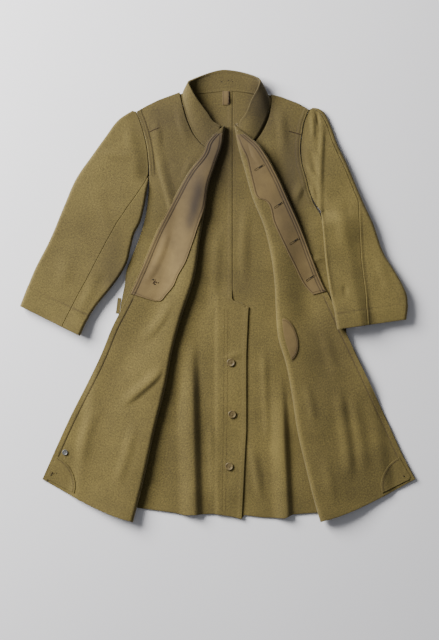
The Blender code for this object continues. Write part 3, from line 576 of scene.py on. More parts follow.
cotton = cotton_finish("cotton", (0.188, 0.128, 0.042, 1), (0.074, 0.048, 0.015, 1))
thread = plain_finish("thread", (0.115, 0.080, 0.028, 1), (0.060, 0.040, 0.014, 1), 900.0, 0.75)
dark_thread = plain_finish("dark_thread", (0.052, 0.027, 0.012, 1), (0.028, 0.014, 0.007, 1), 900.0, 0.8)
pale_thread = plain_finish("pale_thread", (0.34, 0.28, 0.16, 1), (0.20, 0.155, 0.08, 1), 900.0, 0.8)
# Painted shade: this near-black finish colours the lenses that stand for the shade inside holes and slits
hole_shade = plain_finish("hole_shade", (0.012, 0.009, 0.005, 1), (0.006, 0.004, 0.002, 1), 400.0, 0.9)
horn = plain_finish("horn", (0.150, 0.110, 0.040, 1), (0.075, 0.052, 0.019, 1), 160.0, 0.40)
metal = plain_finish("dull_metal", (0.22, 0.22, 0.22, 1), (0.10, 0.10, 0.095, 1), 240.0, 0.40, 0.7)
print("materials:", [m.name for m in bpy.data.materials])

# %% [markdown]
# Every piece is put on the coat in the same way. It rides on the part's one body, it stands for
# the plain solid that it was built from, and it takes its finish.
# %% Putting a piece on the coat
def put_on(piece, finish, slot, *nodes):
    piece.data.materials.append(finish)
    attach(piece, "root")
    if nodes:
        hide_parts(*nodes)
    return piece


# %% [markdown]
# The back is two halves that meet at the centre seam. Below the waist the right half's edge lies
# over the left half's and makes the vent, and on each side of it the loose skirt stands up in one
# long pleat. A panel that lies flat is drawn between guide lines that run down it. A row of the
# grid is a share of the way from its top edge to its hem.
# %% The back's two halves
def flat_panel(guides, levels, top, bottom, sharp=()):
    """Plan places of a panel that lies flat. Each guide is an outline that runs down the panel,
    with the number of spans up to the next one. Levels are shares of the way from top to bottom.
    A place is found by turns: its y from its level, and its x from the guides at that y."""
    index = np.concatenate([np.full(spans, k) for k, (_, spans) in enumerate(guides[:-1])])
    weight = np.concatenate([np.arange(spans) / spans for _, spans in guides[:-1]])
    index, weight = np.append(index, len(guides) - 2), np.append(weight, 1.0)
    y = np.zeros((len(levels), len(index)))
    pick = np.broadcast_to(index, y.shape)[None]
    for _ in range(10):
        sides = np.stack([x_at(guide, y, k in sharp) for k, (guide, _) in enumerate(guides)])
        left = np.take_along_axis(sides, pick, 0)[0]
        right = np.take_along_axis(sides, pick + 1, 0)[0]
        x = left * (1 - weight) + right * weight
        y = top(x) + levels[:, None] * (bottom(x) - top(x))
    return x, y


def crest_height(x, y, crest, half_left, half_right, height, start, full):
    """A pleat along a crest line: a cosine bell across it, grown from y = start to y = full."""
    off = x - x_at(crest, y)
    half = np.where(off < 0, half_left, half_right)
    return height * np.cos(np.clip(off / half, -1, 1) * np.pi / 2) ** 2 * smooth_step(
        (start - y) / (start - full)
    )


PLEAT_R = [(-74, 518), (-69, -120), (-59, -560)]
PLEAT_R_LEFT, PLEAT_R_RIGHT = 44.0, 22.0
PLEAT_R_HEIGHT, PLEAT_R_START, PLEAT_R_FULL = 13.0, -80.0, -260.0
PLEAT_L = [(150, 504), (150, -90), (157, -270), (165, -430), (171, -560)]
PLEAT_L_LEFT, PLEAT_L_RIGHT = 40.0, 18.0
PLEAT_L_HEIGHT, PLEAT_L_START, PLEAT_L_FULL = 11.0, -170.0, -360.0
# The vent's upper layer rises over the lower one between these two lines
RISE_START, RISE_END = [(-12, 518), (-12, -560)], [(1, 518), (1, -560)]
RISE_TOP, RISE_BOTTOM = 22.0, -9.0
# Height, half width left and right of the line's way, taper, and the line
BACK_CREASES = [
    (2.2, 10, 12, 30, [(2, -160), (33, -149), (66, -138)]),
    (4.5, 20, 14, 60, [(80, -360), (92, -430), (108, -520)]),
    (2.5, 16, 12, 60, [(112, -120), (116, -240), (124, -380)]),
    (2.0, 18, 18, 60, [(-20, -300), (-14, -400), (-8, -520)]),
    (2.2, 22, 18, 70, [(70, 240), (62, 120), (66, 20)]),
    (1.8, 20, 20, 70, [(0, 180), (-8, 60), (-14, -80)]),
]
SEAM_BAND, GROOVE_WIDTH = 9.0, 1.7


def groove(distance, depth=0.5):
    """The tone of a sewn line: darker by a bell curve about it. This is painted shade in the sunk line,
    together with the thread and dust that have sunk in.
    """
    return -depth * np.exp(-((distance / GROOVE_WIDTH) ** 2))


def back_height(x, y, right):
    height = BACK_MID + lie(x, y) + creases(x, y, BACK_CREASES)
    if not right:
        return height + crest_height(
            x, y, PLEAT_L, PLEAT_L_LEFT, PLEAT_L_RIGHT, PLEAT_L_HEIGHT, PLEAT_L_START, PLEAT_L_FULL
        )
    start, end = RISE_START[0][0], RISE_END[0][0]
    over_vent = smooth_step((x - start) / (end - start))
    over_vent = over_vent * smooth_step((RISE_TOP - y) / (RISE_TOP - RISE_BOTTOM))
    return height + over_vent * (WOOL + LAYER_GAP) + crest_height(
        x, y, PLEAT_R, PLEAT_R_LEFT, PLEAT_R_RIGHT, PLEAT_R_HEIGHT, PLEAT_R_START, PLEAT_R_FULL
    )


def back_half(name, guides, sharp, right):
    levels = np.linspace(0, 1, 214)
    x, y = flat_panel(guides, levels, lambda x: y_at(BACK_TOP, x), lambda x: y_at(BACK_HEM, x), sharp)
    z = back_height(x, y, right)
    if right:
        from_edge = x_at(VENT_EDGE, y, True) - x
        relief = 0.7 * smooth_step((SEAM_BAND + 2 - from_edge) / 3)
        tone = groove(from_edge - SEAM_BAND, 0.12)
    else:
        relief, tone = 0.0, 0.0
    return wall(name, np.stack([x, y, z], axis=-1), WOOL, relief, tone)


back_r = back_half("back_r_cloth", [
    (shifted(SIDE_R, SEAM_GAP), 24), (shifted(PLEAT_R, -PLEAT_R_LEFT), 12), (PLEAT_R, 8),
    (shifted(PLEAT_R, PLEAT_R_RIGHT), 8), (RISE_START, 5), (RISE_END, 8),
    (shifted(VENT_EDGE, -12), 6), (VENT_EDGE, 0),
], {2, 3, 4, 5, 6, 7}, True)
back_l = back_half("back_l_cloth", [
    (UNDERLAP_EDGE, 22), (shifted(PLEAT_L, -PLEAT_L_LEFT), 10), (PLEAT_L, 7),
    (shifted(PLEAT_L, PLEAT_L_RIGHT), 24), (shifted(SIDE_L, -SEAM_GAP), 0),
], {0, 1, 2, 3}, False)
put_on(back_r, wool_inside, "wool_inside", "back_r")
put_on(back_l, wool_inside, "wool_inside", "back_l")

# %% [markdown]
# Each front turns over at a soft roll and lies back on itself with its inside up. A surface that
# turns over can't be a height above the table, so it is a section carried down the fold: a short
# lip below, a half ellipse round the turn, and the upper layer, which falls from the roll's crown
# to rest on the front, the table or the collar's end.
# %% A front that turns back over its fold
class TurnedFront:
    """The part of a front that is turned back. Sections are the solid part's own, with hills and
    creases added to the height."""

    LIP = 15.0
    # The shares of its width that the turn and the lip may take where the front is narrow
    TURN_SHARE, LIP_SHARE = 0.28, 0.6
    SPREAD = 1.25
    # Shares of the way down: where the loft's four heights are, how the lift of the free edge
    # grows, falls and ends, and where the roll widens
    CROWN_AT = [0, 0.12, 0.3, 1]
    LIFT_GROWN, LIFT_FALLS, LIFT_GONE = 0.09, 0.25, 0.38
    ROLL_WIDENS, ROLL_WIDE = 0.44, 0.8
    # Shares of the upper layer over which the lift and the creases come in
    LIFT_SHARE, CREASE_SHARE = 0.6, 0.15
    # The y at which it starts to climb onto the collar's end, and the length of the climb
    COLLAR_Y, COLLAR_CLIMB = 285, 65
    # How far outside the side line it leaves the table, and the length of that climb
    TABLE_REACH, TABLE_CLIMB = 66, 32
    # The hem bows out between its corners, and this power keeps the bow to the lowest rows
    HEM_POWER = 12

    def __init__(self, fold, edge, side, outward, loft, edge_lift, depth, roll, hem_drop, table):
        self.fold, self.edge, self.side, self.outward = fold, edge, side, outward
        self.loft, self.edge_lift, self.depth = loft, edge_lift, depth
        self.roll, self.hem_drop, self.table = roll, hem_drop, table

    def rest_height(self, x, y):
        """On the front below, on the table past the side, and over the collar's end at the top."""
        inside = (x - x_at(self.side, y)) * -self.outward
        on_collar = smooth_step((y - self.COLLAR_Y) / self.COLLAR_CLIMB)
        above = TURNED_MID + (COLLAR_REST_MID - TURNED_MID) * on_collar
        on_coat = smooth_step((inside + self.TABLE_REACH) / self.TABLE_CLIMB)
        return BACK_MID + (above - BACK_MID) * on_coat

    def width(self, down):
        return np.linalg.norm(along(self.edge, down) - along(self.fold, down), axis=-1)

    def turn_depth(self, width):
        """How far the turn reaches out from the fold, which is less where the front is narrow."""
        return np.minimum(self.depth, self.TURN_SHARE * width)

    def part_at(self, down, inset):
        """The part that lies an inset, in millimetres, in from the free edge."""
        width = self.width(down)
        depth = self.turn_depth(width)
        share = np.clip((width - inset - depth) / (width - depth), 0.02, 1)
        return 2 + share ** (1 / self.SPREAD)

    def middle(self, down, part):
        """Part runs 0 to 1 on the lip, 1 to 2 round the turn, and 2 to 3 out to the free edge."""
        down, part = np.broadcast_arrays(down, part)
        fold, edge = along(self.fold, down), along(self.edge, down)
        width = np.linalg.norm(edge - fold, axis=-1)
        way = (edge - fold) / width[..., None]
        depth = self.turn_depth(width)
        lip = np.minimum(self.LIP, self.LIP_SHARE * width)
        on_top = np.clip(part - 2, 0, 1)
        angle = (np.clip(part - 1, 0, 1) - 0.5) * np.pi
        on_upper = depth + (width - depth) * on_top**self.SPREAD
        round_turn = np.where(part < 2, depth * (1 - np.cos(angle)), on_upper)
        out = np.where(part < 1, lip + (depth - lip) * part, round_turn)
        place = fold + way * out[..., None]
        place[..., 1] -= self.hem_drop * np.sin(np.pi * on_top) * down**self.HEM_POWER
        x, y = place[..., 0], place[..., 1]
        at_turn = fold + way * depth[..., None]
        loft = through(self.CROWN_AT, self.loft, down)
        crown = np.maximum(loft, self.rest_height(at_turn[..., 0], at_turn[..., 1]))
        lift = self.edge_lift * smooth_step(down / self.LIFT_GROWN)
        lift = lift * smooth_step((self.LIFT_GONE - down) / (self.LIFT_GONE - self.LIFT_FALLS))
        rest = self.rest_height(x, y) + lift * smooth_step(on_top / self.LIFT_SHARE)
        narrow, wide = self.roll
        widening = smooth_step((down - self.ROLL_WIDENS) / (self.ROLL_WIDE - self.ROLL_WIDENS))
        roll = narrow + (wide - narrow) * widening
        fall = np.cos(np.clip((out - depth) / roll, 0, 1) * np.pi / 2) ** 2
        upper = rest + (np.maximum(loft, rest) - rest) * fall
        upper = upper + creases(x, y, self.table) * smooth_step(on_top / self.CREASE_SHARE)
        turn = (crown + FRONT_MID) / 2 + (crown - FRONT_MID) / 2 * np.sin(angle)
        height = np.where(part < 1, FRONT_MID, np.where(part < 2, turn, upper)) + lie(x, y)
        return np.concatenate([place, height[..., None]], axis=-1)

    def face(self, down, part):
        """Points and normals of the shown face."""
        nudge = 0.002
        here = self.middle(down, part)
        along_part = self.middle(down, part + nudge) - self.middle(down, part - nudge)
        lower, higher = np.clip(down - nudge, 0, 1), np.clip(down + nudge, 0, 1)
        along_down = self.middle(higher, part) - self.middle(lower, part)
        out = unit(np.cross(along_part, along_down))
        out = out * np.sign(out[..., 2].mean())
        return here + out * WOOL / 2, out

    def place_of(self, line):
        """The shares down and the parts at which the upper layer passes through plan places."""
        rows, parts = np.linspace(0, 1, 600), np.linspace(1.7, 3, 200)
        plan = self.middle(rows[:, None], parts[None, :])[..., :2]
        nearest = [np.argmin(((plan - point) ** 2).sum(axis=-1)) for point in np.asarray(line, float)]
        row, column = np.unravel_index(nearest, plan.shape[:2])
        return rows[row], parts[column]

    def lip_line(self):
        down = spaced(0, 5, 0.12, 15, 1.0)
        points = self.middle(down, np.zeros(len(down)))
        return [(float(x), float(y)) for x, y in points[:, :2]]


TURNED_R_CREASES = [
    (5.5, 12, 26, 60, [(-128, -168), (-160, -205), (-200, -240), (-250, -280)]),
    (3.0, 20, 20, 70, [(-205, -300), (-225, -380), (-260, -490)]),
    (2.5, 24, 20, 70, [(-290, -260), (-330, -340), (-350, -440)]),
    (3.0, 16, 22, 60, [(-112, 0), (-150, -70), (-200, -120)]),
    (1.6, 14, 14, 50, [(-120, 180), (-150, 90), (-190, 20)]),
]
TURNED_L_CREASES = [
    (4.0, 16, 24, 70, [(296, -215), (314, -330), (332, -470)]),
    (3.5, 24, 16, 70, [(330, -230), (350, -340), (368, -460)]),
    (2.5, 16, 16, 50, [(212, -205), (228, -260), (240, -330)]),
    (2.5, 22, 22, 70, [(250, -60), (280, -150), (300, -220)]),
    (2.0, 18, 22, 60, [(262, -380), (275, -450), (290, -530)]),
]
TURNED_R = TurnedFront(
    FOLD_R, EDGE_R, SIDE_R, outward=-1, loft=[17, 20, 21, 22], edge_lift=0.0, depth=8.0,
    roll=(72.0, 150.0), hem_drop=10.0, table=TURNED_R_CREASES,
)
TURNED_L = TurnedFront(
    FOLD_L, EDGE_L, SIDE_L, outward=1, loft=[17, 21, 22, 21], edge_lift=9.0, depth=10.0,
    roll=(84.0, 185.0), hem_drop=9.0, table=TURNED_L_CREASES,
)

# %% [markdown]
# The free edge of a front is turned in and stitched down, which makes a firm band as wide as a
# thumb. The wall's shown face is raised there by less than a cloth's thickness, with a groove
# where the stitching draws it in. The grid has closer columns at the groove to keep it crisp.
# %% The turned-back fronts
EDGE_BAND = 14.0
BAND_REACH, BAND_FALL = 1.5, 2.5
DIP_DEPTH, DIP_WIDTH = 0.55, 1.3


def edge_relief(inset, band=EDGE_BAND, height=0.9):
    """The height of a stitched band: full near the edge, a dip at the stitches, and 0 inside."""
    step = smooth_step((band + BAND_REACH - inset) / BAND_FALL)
    return height * step - DIP_DEPTH * np.exp(-(((inset - band) / DIP_WIDTH) ** 2))


def turned_front(name, front, cotton_end):
    """Its stitched band starts below the cotton's lower end, because above it the cotton is turned
    in with the wool and carries the stitches."""
    down = spaced(0, 30, 0.12, 185, 1.0)
    ones = np.ones_like(down)
    insets = (EDGE_BAND + 6, EDGE_BAND + 2, EDGE_BAND - 2, 3)
    stops = [front.part_at(down, inset) for inset in insets]
    turn = (0 * ones, 3, ones, 10, 2 * ones, 34)
    part = piecewise(*turn, stops[0], 3, stops[1], 4, stops[2], 3, stops[3], 3, 3 * ones)
    middle = front.middle(down[:, None], part)
    width = front.width(down)[:, None]
    share = np.clip(part - 2, 0, 1) ** front.SPREAD
    inset = (width - front.turn_depth(width)) * (1 - share)
    below_cotton = smooth_step((down - front.place_of([cotton_end])[0]) / 0.012)[:, None] * (part > 2)
    relief = edge_relief(inset) * below_cotton
    return wall(name, middle, WOOL, relief, groove(inset - EDGE_BAND) * below_cotton, slice(-20, None))


FACING_R_END, STRIP_L_END = (-218, 6), (265, 12)
front_r_turned = turned_front("front_r_turned_cloth", TURNED_R, FACING_R_END)
front_l_turned = turned_front("front_l_turned_cloth", TURNED_L, STRIP_L_END)
put_on(front_r_turned, wool_inside, "wool_inside", "front_r_turned")
put_on(front_l_turned, wool_inside, "wool_inside", "front_l_turned")

# %% [markdown]
# Below them lie the parts of the fronts that still face up, from the side seam to under the
# fold. Round the armhole the seam is pressed towards the body and stitched down twice, which
# raises a firm double ridge. It is drawn as relief beside the side line, as far as the armpit.
# %% The fronts that lie face up
FRONT_R_CREASES = [
    (4.5, 24, 10, 70, [(-156, 380), (-142, 310), (-122, 235), (-110, 160)]),
    (2.6, 16, 18, 60, [(-160, 455), (-152, 400), (-150, 340)]),
    (2.4, 20, 16, 60, [(-104, 492), (-92, 430), (-70, 370)]),
    (2.0, 16, 16, 50, [(-60, 360), (-76, 320), (-96, 270)]),
]
FRONT_L_CREASES = [
    (4.0, 12, 24, 40, [(216, 294), (200, 256), (184, 222)]),
    (2.8, 20, 18, 60, [(150, 480), (158, 420), (166, 350)]),
    (2.4, 16, 16, 50, [(200, 200), (214, 140), (236, 80)]),
    (2.6, 10, 10, 24, [(222, 96), (244, 92), (268, 98)]),
    (2.4, 16, 18, 60, [(120, 400), (136, 340), (160, 290)]),
]
ARMHOLE_BAND, ARMHOLE_STITCH = 13.0, 6.5
# Distances in from the side line, and the number of columns from each to the next
SIDE_COLUMNS = [(0, 3), (3, 3), (12, 3), (17, 46)]
# A board lay on the right shoulder for years and left its mark: middle, half sizes and turn
BOARD_MIDDLE, BOARD_HALF, BOARD_TURN = (-160, 440), (11.0, 24.0), -0.1


def board_mark(x, y):
    """A rounded oblong that is a little darker at its border than inside."""
    dx, dy = x - BOARD_MIDDLE[0], y - BOARD_MIDDLE[1]
    along_x = (dx * np.cos(BOARD_TURN) + dy * np.sin(BOARD_TURN)) / BOARD_HALF[0]
    along_y = (dy * np.cos(BOARD_TURN) - dx * np.sin(BOARD_TURN)) / BOARD_HALF[1]
    reach = (along_x**6 + along_y**6) ** (1 / 6)
    return -0.16 * np.exp(-(((reach - 1) / 0.09) ** 2)) - 0.05 * smooth_step((1 - reach) / 0.1)


def front_height(x, y, table):
    return FRONT_MID + lie(x, y) + creases(x, y, table)


def lying_front(name, side, neck, front, outward, armpit_y, table):
    lip = front.lip_line()
    neck_low = min(y for _, y in neck)
    inner = shifted([p for p in lip if p[1] < neck_low - 4] + neck, outward * HIDDEN_JOINT_GAP)
    shoulder = [p for p in BACK_TOP if p[0] * outward > 80] + [max(inner, key=lambda p: p[1])]
    side = sewn_side(side, outward)
    near_side = [(shifted(side, -outward * inset), spans) for inset, spans in SIDE_COLUMNS]
    guides = [*near_side, (inner, 0)]
    levels = np.linspace(0, 1, 210)
    x, y = flat_panel(guides, levels, lambda x: y_at(shoulder, x), lambda x: y_at(FRONT_HEM, x))
    inset = np.abs(x - x_at(side, y))
    above_armpit = smooth_step((y - armpit_y) / 25)
    relief = edge_relief(inset, ARMHOLE_BAND, 1.3) * above_armpit
    relief = relief - 0.8 * above_armpit * np.exp(-(((inset - ARMHOLE_STITCH) / 1.6) ** 2))
    tone = (groove(inset - ARMHOLE_STITCH, 0.3) + groove(inset - ARMHOLE_BAND, 0.3)) * above_armpit
    tone = tone + board_mark(x, y)
    middle = np.stack([x, y, front_height(x, y, table)], axis=-1)
    return wall(name, middle, WOOL, relief, tone)


front_r = lying_front("front_r_cloth", SIDE_R, NECK_R, TURNED_R, -1, 295, FRONT_R_CREASES)
front_l = lying_front("front_l_cloth", SIDE_L, NECK_L, TURNED_L, 1, 215, FRONT_L_CREASES)
put_on(front_r, wool, "wool", "front_r")
put_on(front_l, wool, "wool", "front_l")

# %% [markdown]
# The cotton facing, the buttonhole strip and the small reinforcing patches are sewn onto the
# insides of the fronts. Each is a range of the front's own face, moved out by a gap and half its
# thickness, so it follows every fold of the cloth below without cutting into it.
# %% Facing, buttonhole strip and patches
FACING_R = [
    (9, 405), (6, 381), (-10, 331), (-27, 279), (-36, 222), (-49, 180), (-61, 142), (-70, 116),
    (-82, 84), (-100, 52), (-111, 26), (-129, 5), (-144, -11), (-161, -11),
]
STRIP_L = [
    (43, 401), (56, 372), (69, 344), (76, 315), (85, 279), (97, 244), (111, 239), (138, 181),
    (165, 122), (188, 76), (211, 31), (236, 4),
]
COTTON_MARGIN = 3.0
# The least part between the two borders of a long piece
LEAST_PART = 0.06


def skin(name, front, down, part, relief=0.0, shade=0.0):
    face, out = front.face(down, part)
    return wall(name, face + out * (LIFT_ON_CURVE + COTTON / 2), COTTON, relief, shade)


def strip_places(front, border, end, steps, across):
    """The grid of a long piece between a border line and the front's free edge."""
    points = np.asarray(border, float)
    length = np.concatenate([[0.0], np.cumsum(np.linalg.norm(np.diff(points, axis=0), axis=1))])
    border_down, border_part = front.place_of(border)
    end_down, _ = front.place_of([end])
    inner_down = through(length, border_down, steps * length[-1])
    inner_part = through(length, border_part, steps * length[-1])
    outer_down = border_down[0] + (end_down[0] - border_down[0]) * steps
    outer_part = front.part_at(outer_down, COTTON_MARGIN)
    inner_part = np.minimum(inner_part, outer_part - LEAST_PART)
    down = inner_down[:, None] * (1 - across) + outer_down[:, None] * across
    return down, inner_part[:, None] * (1 - across) + outer_part[:, None] * across


HEM_OF_COTTON = 4.0
# Two rows of stitches hold the cotton along the free edge, this far from the cotton's own edge
EDGE_ROWS = (5.0, 11.0)
ROW_DEPTH, ROW_WIDTH, ROW_TONE = 0.4, 1.2, 0.55


def strip(name, front, border, end):
    """The turned-in border stands up a little, and the stitches beside it draw the cloth in. Along
    the free edge two rows of stitches leave two grooves."""
    down, part = strip_places(front, border, end, np.linspace(0, 1, 150), np.linspace(0, 1, 60)[None, :])
    plan = front.middle(down, part)
    across, along_it = lengths_along(plan, 1), lengths_along(plan, 0)
    inset = np.minimum(across, along_it[-1:] - along_it)
    from_edge = across[:, -1:] - across
    relief = edge_relief(inset, HEM_OF_COTTON, 0.35) + 0.5 * smooth_step((EDGE_ROWS[1] - from_edge) / 2)
    tone = groove(inset - HEM_OF_COTTON, 0.25)
    for row in EDGE_ROWS:
        relief = relief - ROW_DEPTH * np.exp(-(((from_edge - row) / ROW_WIDTH) ** 2))
        tone = tone + groove(from_edge - row, ROW_TONE)
    return skin(name, front, down, part, relief, tone)


# Share of a patch's size at which it is stitched, and its size in millimetres
STITCHED_AT, PATCH_REACH = 0.92, 60.0


def rounded(name, front, centre, reach, sector):
    """A patch round a centre, given as down and part, over a sector of angles."""
    angle = np.radians(np.linspace(*sector, 40))[None, :]
    size = np.linspace(0.05, 1, 16)[:, None]
    down = centre[0] + reach[0] * size * np.sin(angle)
    part = centre[1] + reach[1] * size * np.cos(angle)
    return skin(name, front, down, part, 0.0, groove((size - STITCHED_AT) * PATCH_REACH, 0.35))


# Centre and reach, each as shares down and part, and the first and last angle in degrees
CORNER = (0.993, 2.975), (-0.062, -0.27), (2, 88)
POCKET_MOUTH = (0.545, 2.05), (0.052, 0.26), (-88, 88)
facing_r = strip("facing_r_cloth", TURNED_R, FACING_R, FACING_R_END)
strip_l = strip("strip_l_cloth", TURNED_L, STRIP_L, STRIP_L_END)
corner_patch_r = rounded("corner_patch_r_cloth", TURNED_R, *CORNER)
corner_patch_l = rounded("corner_patch_l_cloth", TURNED_L, *CORNER)
pocket_patch_l = rounded("pocket_patch_l_cloth", TURNED_L, *POCKET_MOUTH)
put_on(facing_r, cotton, "cotton", "facing_r")
put_on(strip_l, cotton, "cotton", "strip_l")
put_on(corner_patch_r, wool_inside, "wool_inside", "corner_patch_r")
put_on(corner_patch_l, wool_inside, "wool_inside", "corner_patch_l")
put_on(pocket_patch_l, cotton, "cotton", "pocket_patch_l")

# %% [markdown]
# A sleeve is a tube of two pieces, a top sleeve and a narrower under sleeve. Pressed flat on the
# table it is two layers that meet in a soft turn along each side, with some air between them.
# Its section is walked once round: over the top, round the outer side, back below, and round the
# inner side. The seam on top is simply where one piece ends and the next begins.
# %% Sleeves
SLEEVE_R_INNER = [
    (-205, 461), (-194, 431), (-185, 401), (-179, 374), (-175, 341), (-174, 309),
    (-181, 254), (-189, 211), (-196, 186), (-211, 156), (-219, 126), (-229, 86),
    (-251, 46), (-271, 19), (-306, -24), (-331, -64), (-346, -98),
]
SLEEVE_R_OUTER = [
    (-214, 463), (-229, 454), (-244, 444), (-282, 396), (-312, 354), (-355, 291),
    (-381, 231), (-420, 139), (-458, 64), (-493, -25),
]
SLEEVE_L_INNER = [
    (226, 466), (214, 436), (208, 404), (205, 369), (209, 328), (218, 296), (229, 255),
    (242, 229), (255, 211), (259, 179), (270, 66), (279, 6), (287, -29), (297, -82),
]
SLEEVE_L_OUTER = [
    (234, 470), (246, 469), (259, 462), (269, 448), (280, 424), (296, 379), (318, 334),
    (340, 281), (369, 214), (381, 189), (414, 101), (436, 66), (461, 21), (469, -1),
    (470, -21), (466, -58),
]


class Sleeve:
    """A pressed sleeve: an upper and a lower layer that meet in a turn at each side."""

    TURN, SEWN_TURN, TURN_SHARE = 6.0, 0.5, 0.3
    CAP_SEPARATION, SEPARATION = 5.6, 14.0
    # The share down the sleeve at which it starts to fill with air, and the share that this takes
    FILLS_AT, FILLS_OVER = 0.05, 0.35
    ARMHOLE_SEPARATION, ARMHOLE_REACH = FRONT_MID - BACK_MID, 40
    WRAP = 0.02

    def __init__(self, inner, outer, armpit, lift, table):
        self.inner, self.outer, self.armpit = inner, outer, armpit
        self.lift, self.table = lift, table

    def past_armpit(self, down, over=0.07):
        return smooth_step((down - self.armpit) / over)

    def width(self, down):
        return np.linalg.norm(along(self.outer, down) - along(self.inner, down), axis=-1)

    def middle(self, down, turn):
        """Turn runs 0 to 1 over the upper layer from the inner side, to 2 round the outer turn, to 3
        back under it, and to 4 round the inner turn."""
        down, turn = np.broadcast_arrays(down, turn)
        turn = np.mod(turn, 4.0)
        start, end = along(self.inner, down), along(self.outer, down)
        width = np.linalg.norm(end - start, axis=-1)
        way = (end - start) / width[..., None]
        near = self.SEWN_TURN + (self.TURN - self.SEWN_TURN) * self.past_armpit(down)
        far = np.minimum(self.TURN, self.TURN_SHARE * width)
        flat = width - near - far
        where = [turn <= 1, turn <= 2, turn <= 3]
        outer_angle, inner_angle = (turn - 1) * np.pi, (turn - 3) * np.pi
        over = near + flat * turn
        round_outer = width - far + far * np.sin(outer_angle)
        under, round_inner = near + flat * (3 - turn), near - near * np.sin(inner_angle)
        out = np.select(where, [over, round_outer, under], round_inner)
        ones = np.ones_like(out)
        side = np.select(where, [ones, np.cos(outer_angle), -ones], -np.cos(inner_angle))
        at_armhole = (1 - self.past_armpit(down)) * (1 - smooth_step(out / self.ARMHOLE_REACH))
        filled = smooth_step((down - self.FILLS_AT) / self.FILLS_OVER)
        puffed = self.CAP_SEPARATION + (self.SEPARATION - self.CAP_SEPARATION) * filled
        apart = puffed + (self.ARMHOLE_SEPARATION - puffed) * at_armhole
        place = start + way * out[..., None]
        x, y = place[..., 0], place[..., 1]
        upper = smooth_step(side + 1)
        height = BACK_MID + self.lift(down, out) + lie(x, y) + apart * (side + 1) / 2
        height = height + creases(x, y, self.table) * upper
        return np.concatenate([place, height[..., None]], axis=-1)


# Where down the left sleeve its inner side climbs onto the front, and then onto the turned front,
# and how far across the sleeve it lies on them
ON_FRONT, ON_TURNED = (0.475, 0.545), (0.70, 0.82)
LIES_ON_COAT, CLEAR_OF_COAT = 55.0, 95.0
# Both cuffs rise off the table from this far down the sleeve, the right one at its inner corner
CUFF_RISE_START = 0.8
CUFF_RISE_R, CUFF_REACH_R = 9.0, 110.0
CUFF_RISE_L = 5.0


def cuff_rise(down):
    return smooth_step((down - CUFF_RISE_START) / (1 - CUFF_RISE_START))


def lift_of_cuff(down, out):
    return CUFF_RISE_R * cuff_rise(down) * (1 - smooth_step(out / CUFF_REACH_R))


def lift_on_body(down, out):
    """The left sleeve's inner side lies on the coat's side, and its cuff on the turned front too."""
    front_step, turned_step = FRONT_MID - BACK_MID + WOOL + LAYER_GAP, WOOL + 2 * LAYER_GAP
    on_front = smooth_step((down - ON_FRONT[0]) / (ON_FRONT[1] - ON_FRONT[0]))
    on_turned = smooth_step((down - ON_TURNED[0]) / (ON_TURNED[1] - ON_TURNED[0]))
    across = 1 - smooth_step((out - LIES_ON_COAT) / (CLEAR_OF_COAT - LIES_ON_COAT))
    return (front_step * on_front + turned_step * on_turned) * across + CUFF_RISE_L * cuff_rise(down)


SLEEVE_R_CREASES = [
    (2.2, 12, 16, 30, [(-300, 360), (-252, 352), (-208, 345)]),
    (2.5, 20, 16, 60, [(-232, 430), (-222, 390), (-212, 350)]),
    (-3.0, 14, 18, 30, [(-330, -25), (-331, -45), (-330, -70)]),
    (-3.0, 16, 14, 30, [(-292, 62), (-290, 36), (-292, 10)]),
    (3.0, 16, 16, 60, [(-306, 60), (-322, 10), (-352, -50)]),
    (2.0, 26, 26, 70, [(-400, 120), (-380, 60), (-410, 10)]),
    (1.6, 22, 22, 70, [(-320, 270), (-290, 220), (-270, 150)]),
]
SLEEVE_L_CREASES = [
    (3.5, 8, 12, 60, [(263, 445), (258, 380), (254, 300), (258, 179), (270, 66), (287, -29)]),
    (-3.5, 7, 7, 18, [(244, 470), (247, 445), (250, 418)]),
    (2.5, 8, 10, 25, [(232, 460), (236, 420), (236, 385)]),
    (-3.0, 12, 14, 25, [(228, 372), (236, 340), (246, 300)]),
    (3.0, 9, 9, 20, [(218, 330), (236, 304), (254, 278)]),
    (2.6, 8, 8, 18, [(230, 282), (238, 258), (246, 236)]),
    (-2.5, 12, 12, 24, [(316, 36), (314, 14), (318, -8)]),
    (-3.0, 10, 12, 24, [(394, 46), (404, 34), (410, 20)]),
    (2.4, 22, 22, 60, [(300, 260), (306, 180), (318, 100)]),
    (2.0, 20, 20, 60, [(392, 120), (410, 60), (430, 0)]),
]
SLEEVE_R = Sleeve(SLEEVE_R_INNER, SLEEVE_R_OUTER, 0.262, lift_of_cuff, SLEEVE_R_CREASES)
SLEEVE_L = Sleeve(SLEEVE_L_INNER, SLEEVE_L_OUTER, 0.474, lift_on_body, SLEEVE_L_CREASES)
# The seam that shows on each sleeve, from the armpit or the outer side down to the cuff
SEAM_R = [
    (-175, 308), (-181, 291), (-192, 271), (-229, 219), (-282, 131), (-316, 66), (-352, -1),
    (-386, -68),
]
SEAM_L = [(347, 262), (350, 189), (358, 66), (364, 19), (367, -24), (370, -72)]
SEAM_BELOW = 0.12
SEAM_HALF_GAP = 0.25
CUFF_HEM_R, CUFF_HEM_L = 55.0, 39.0
SEAM_RIDGE = 7.0
# Columns are closer within this distance of the seam that shows
NEAR_SEAM = 8.0
# The plan places of each sleeve piece's hem stitches
HEM_LINES = {}


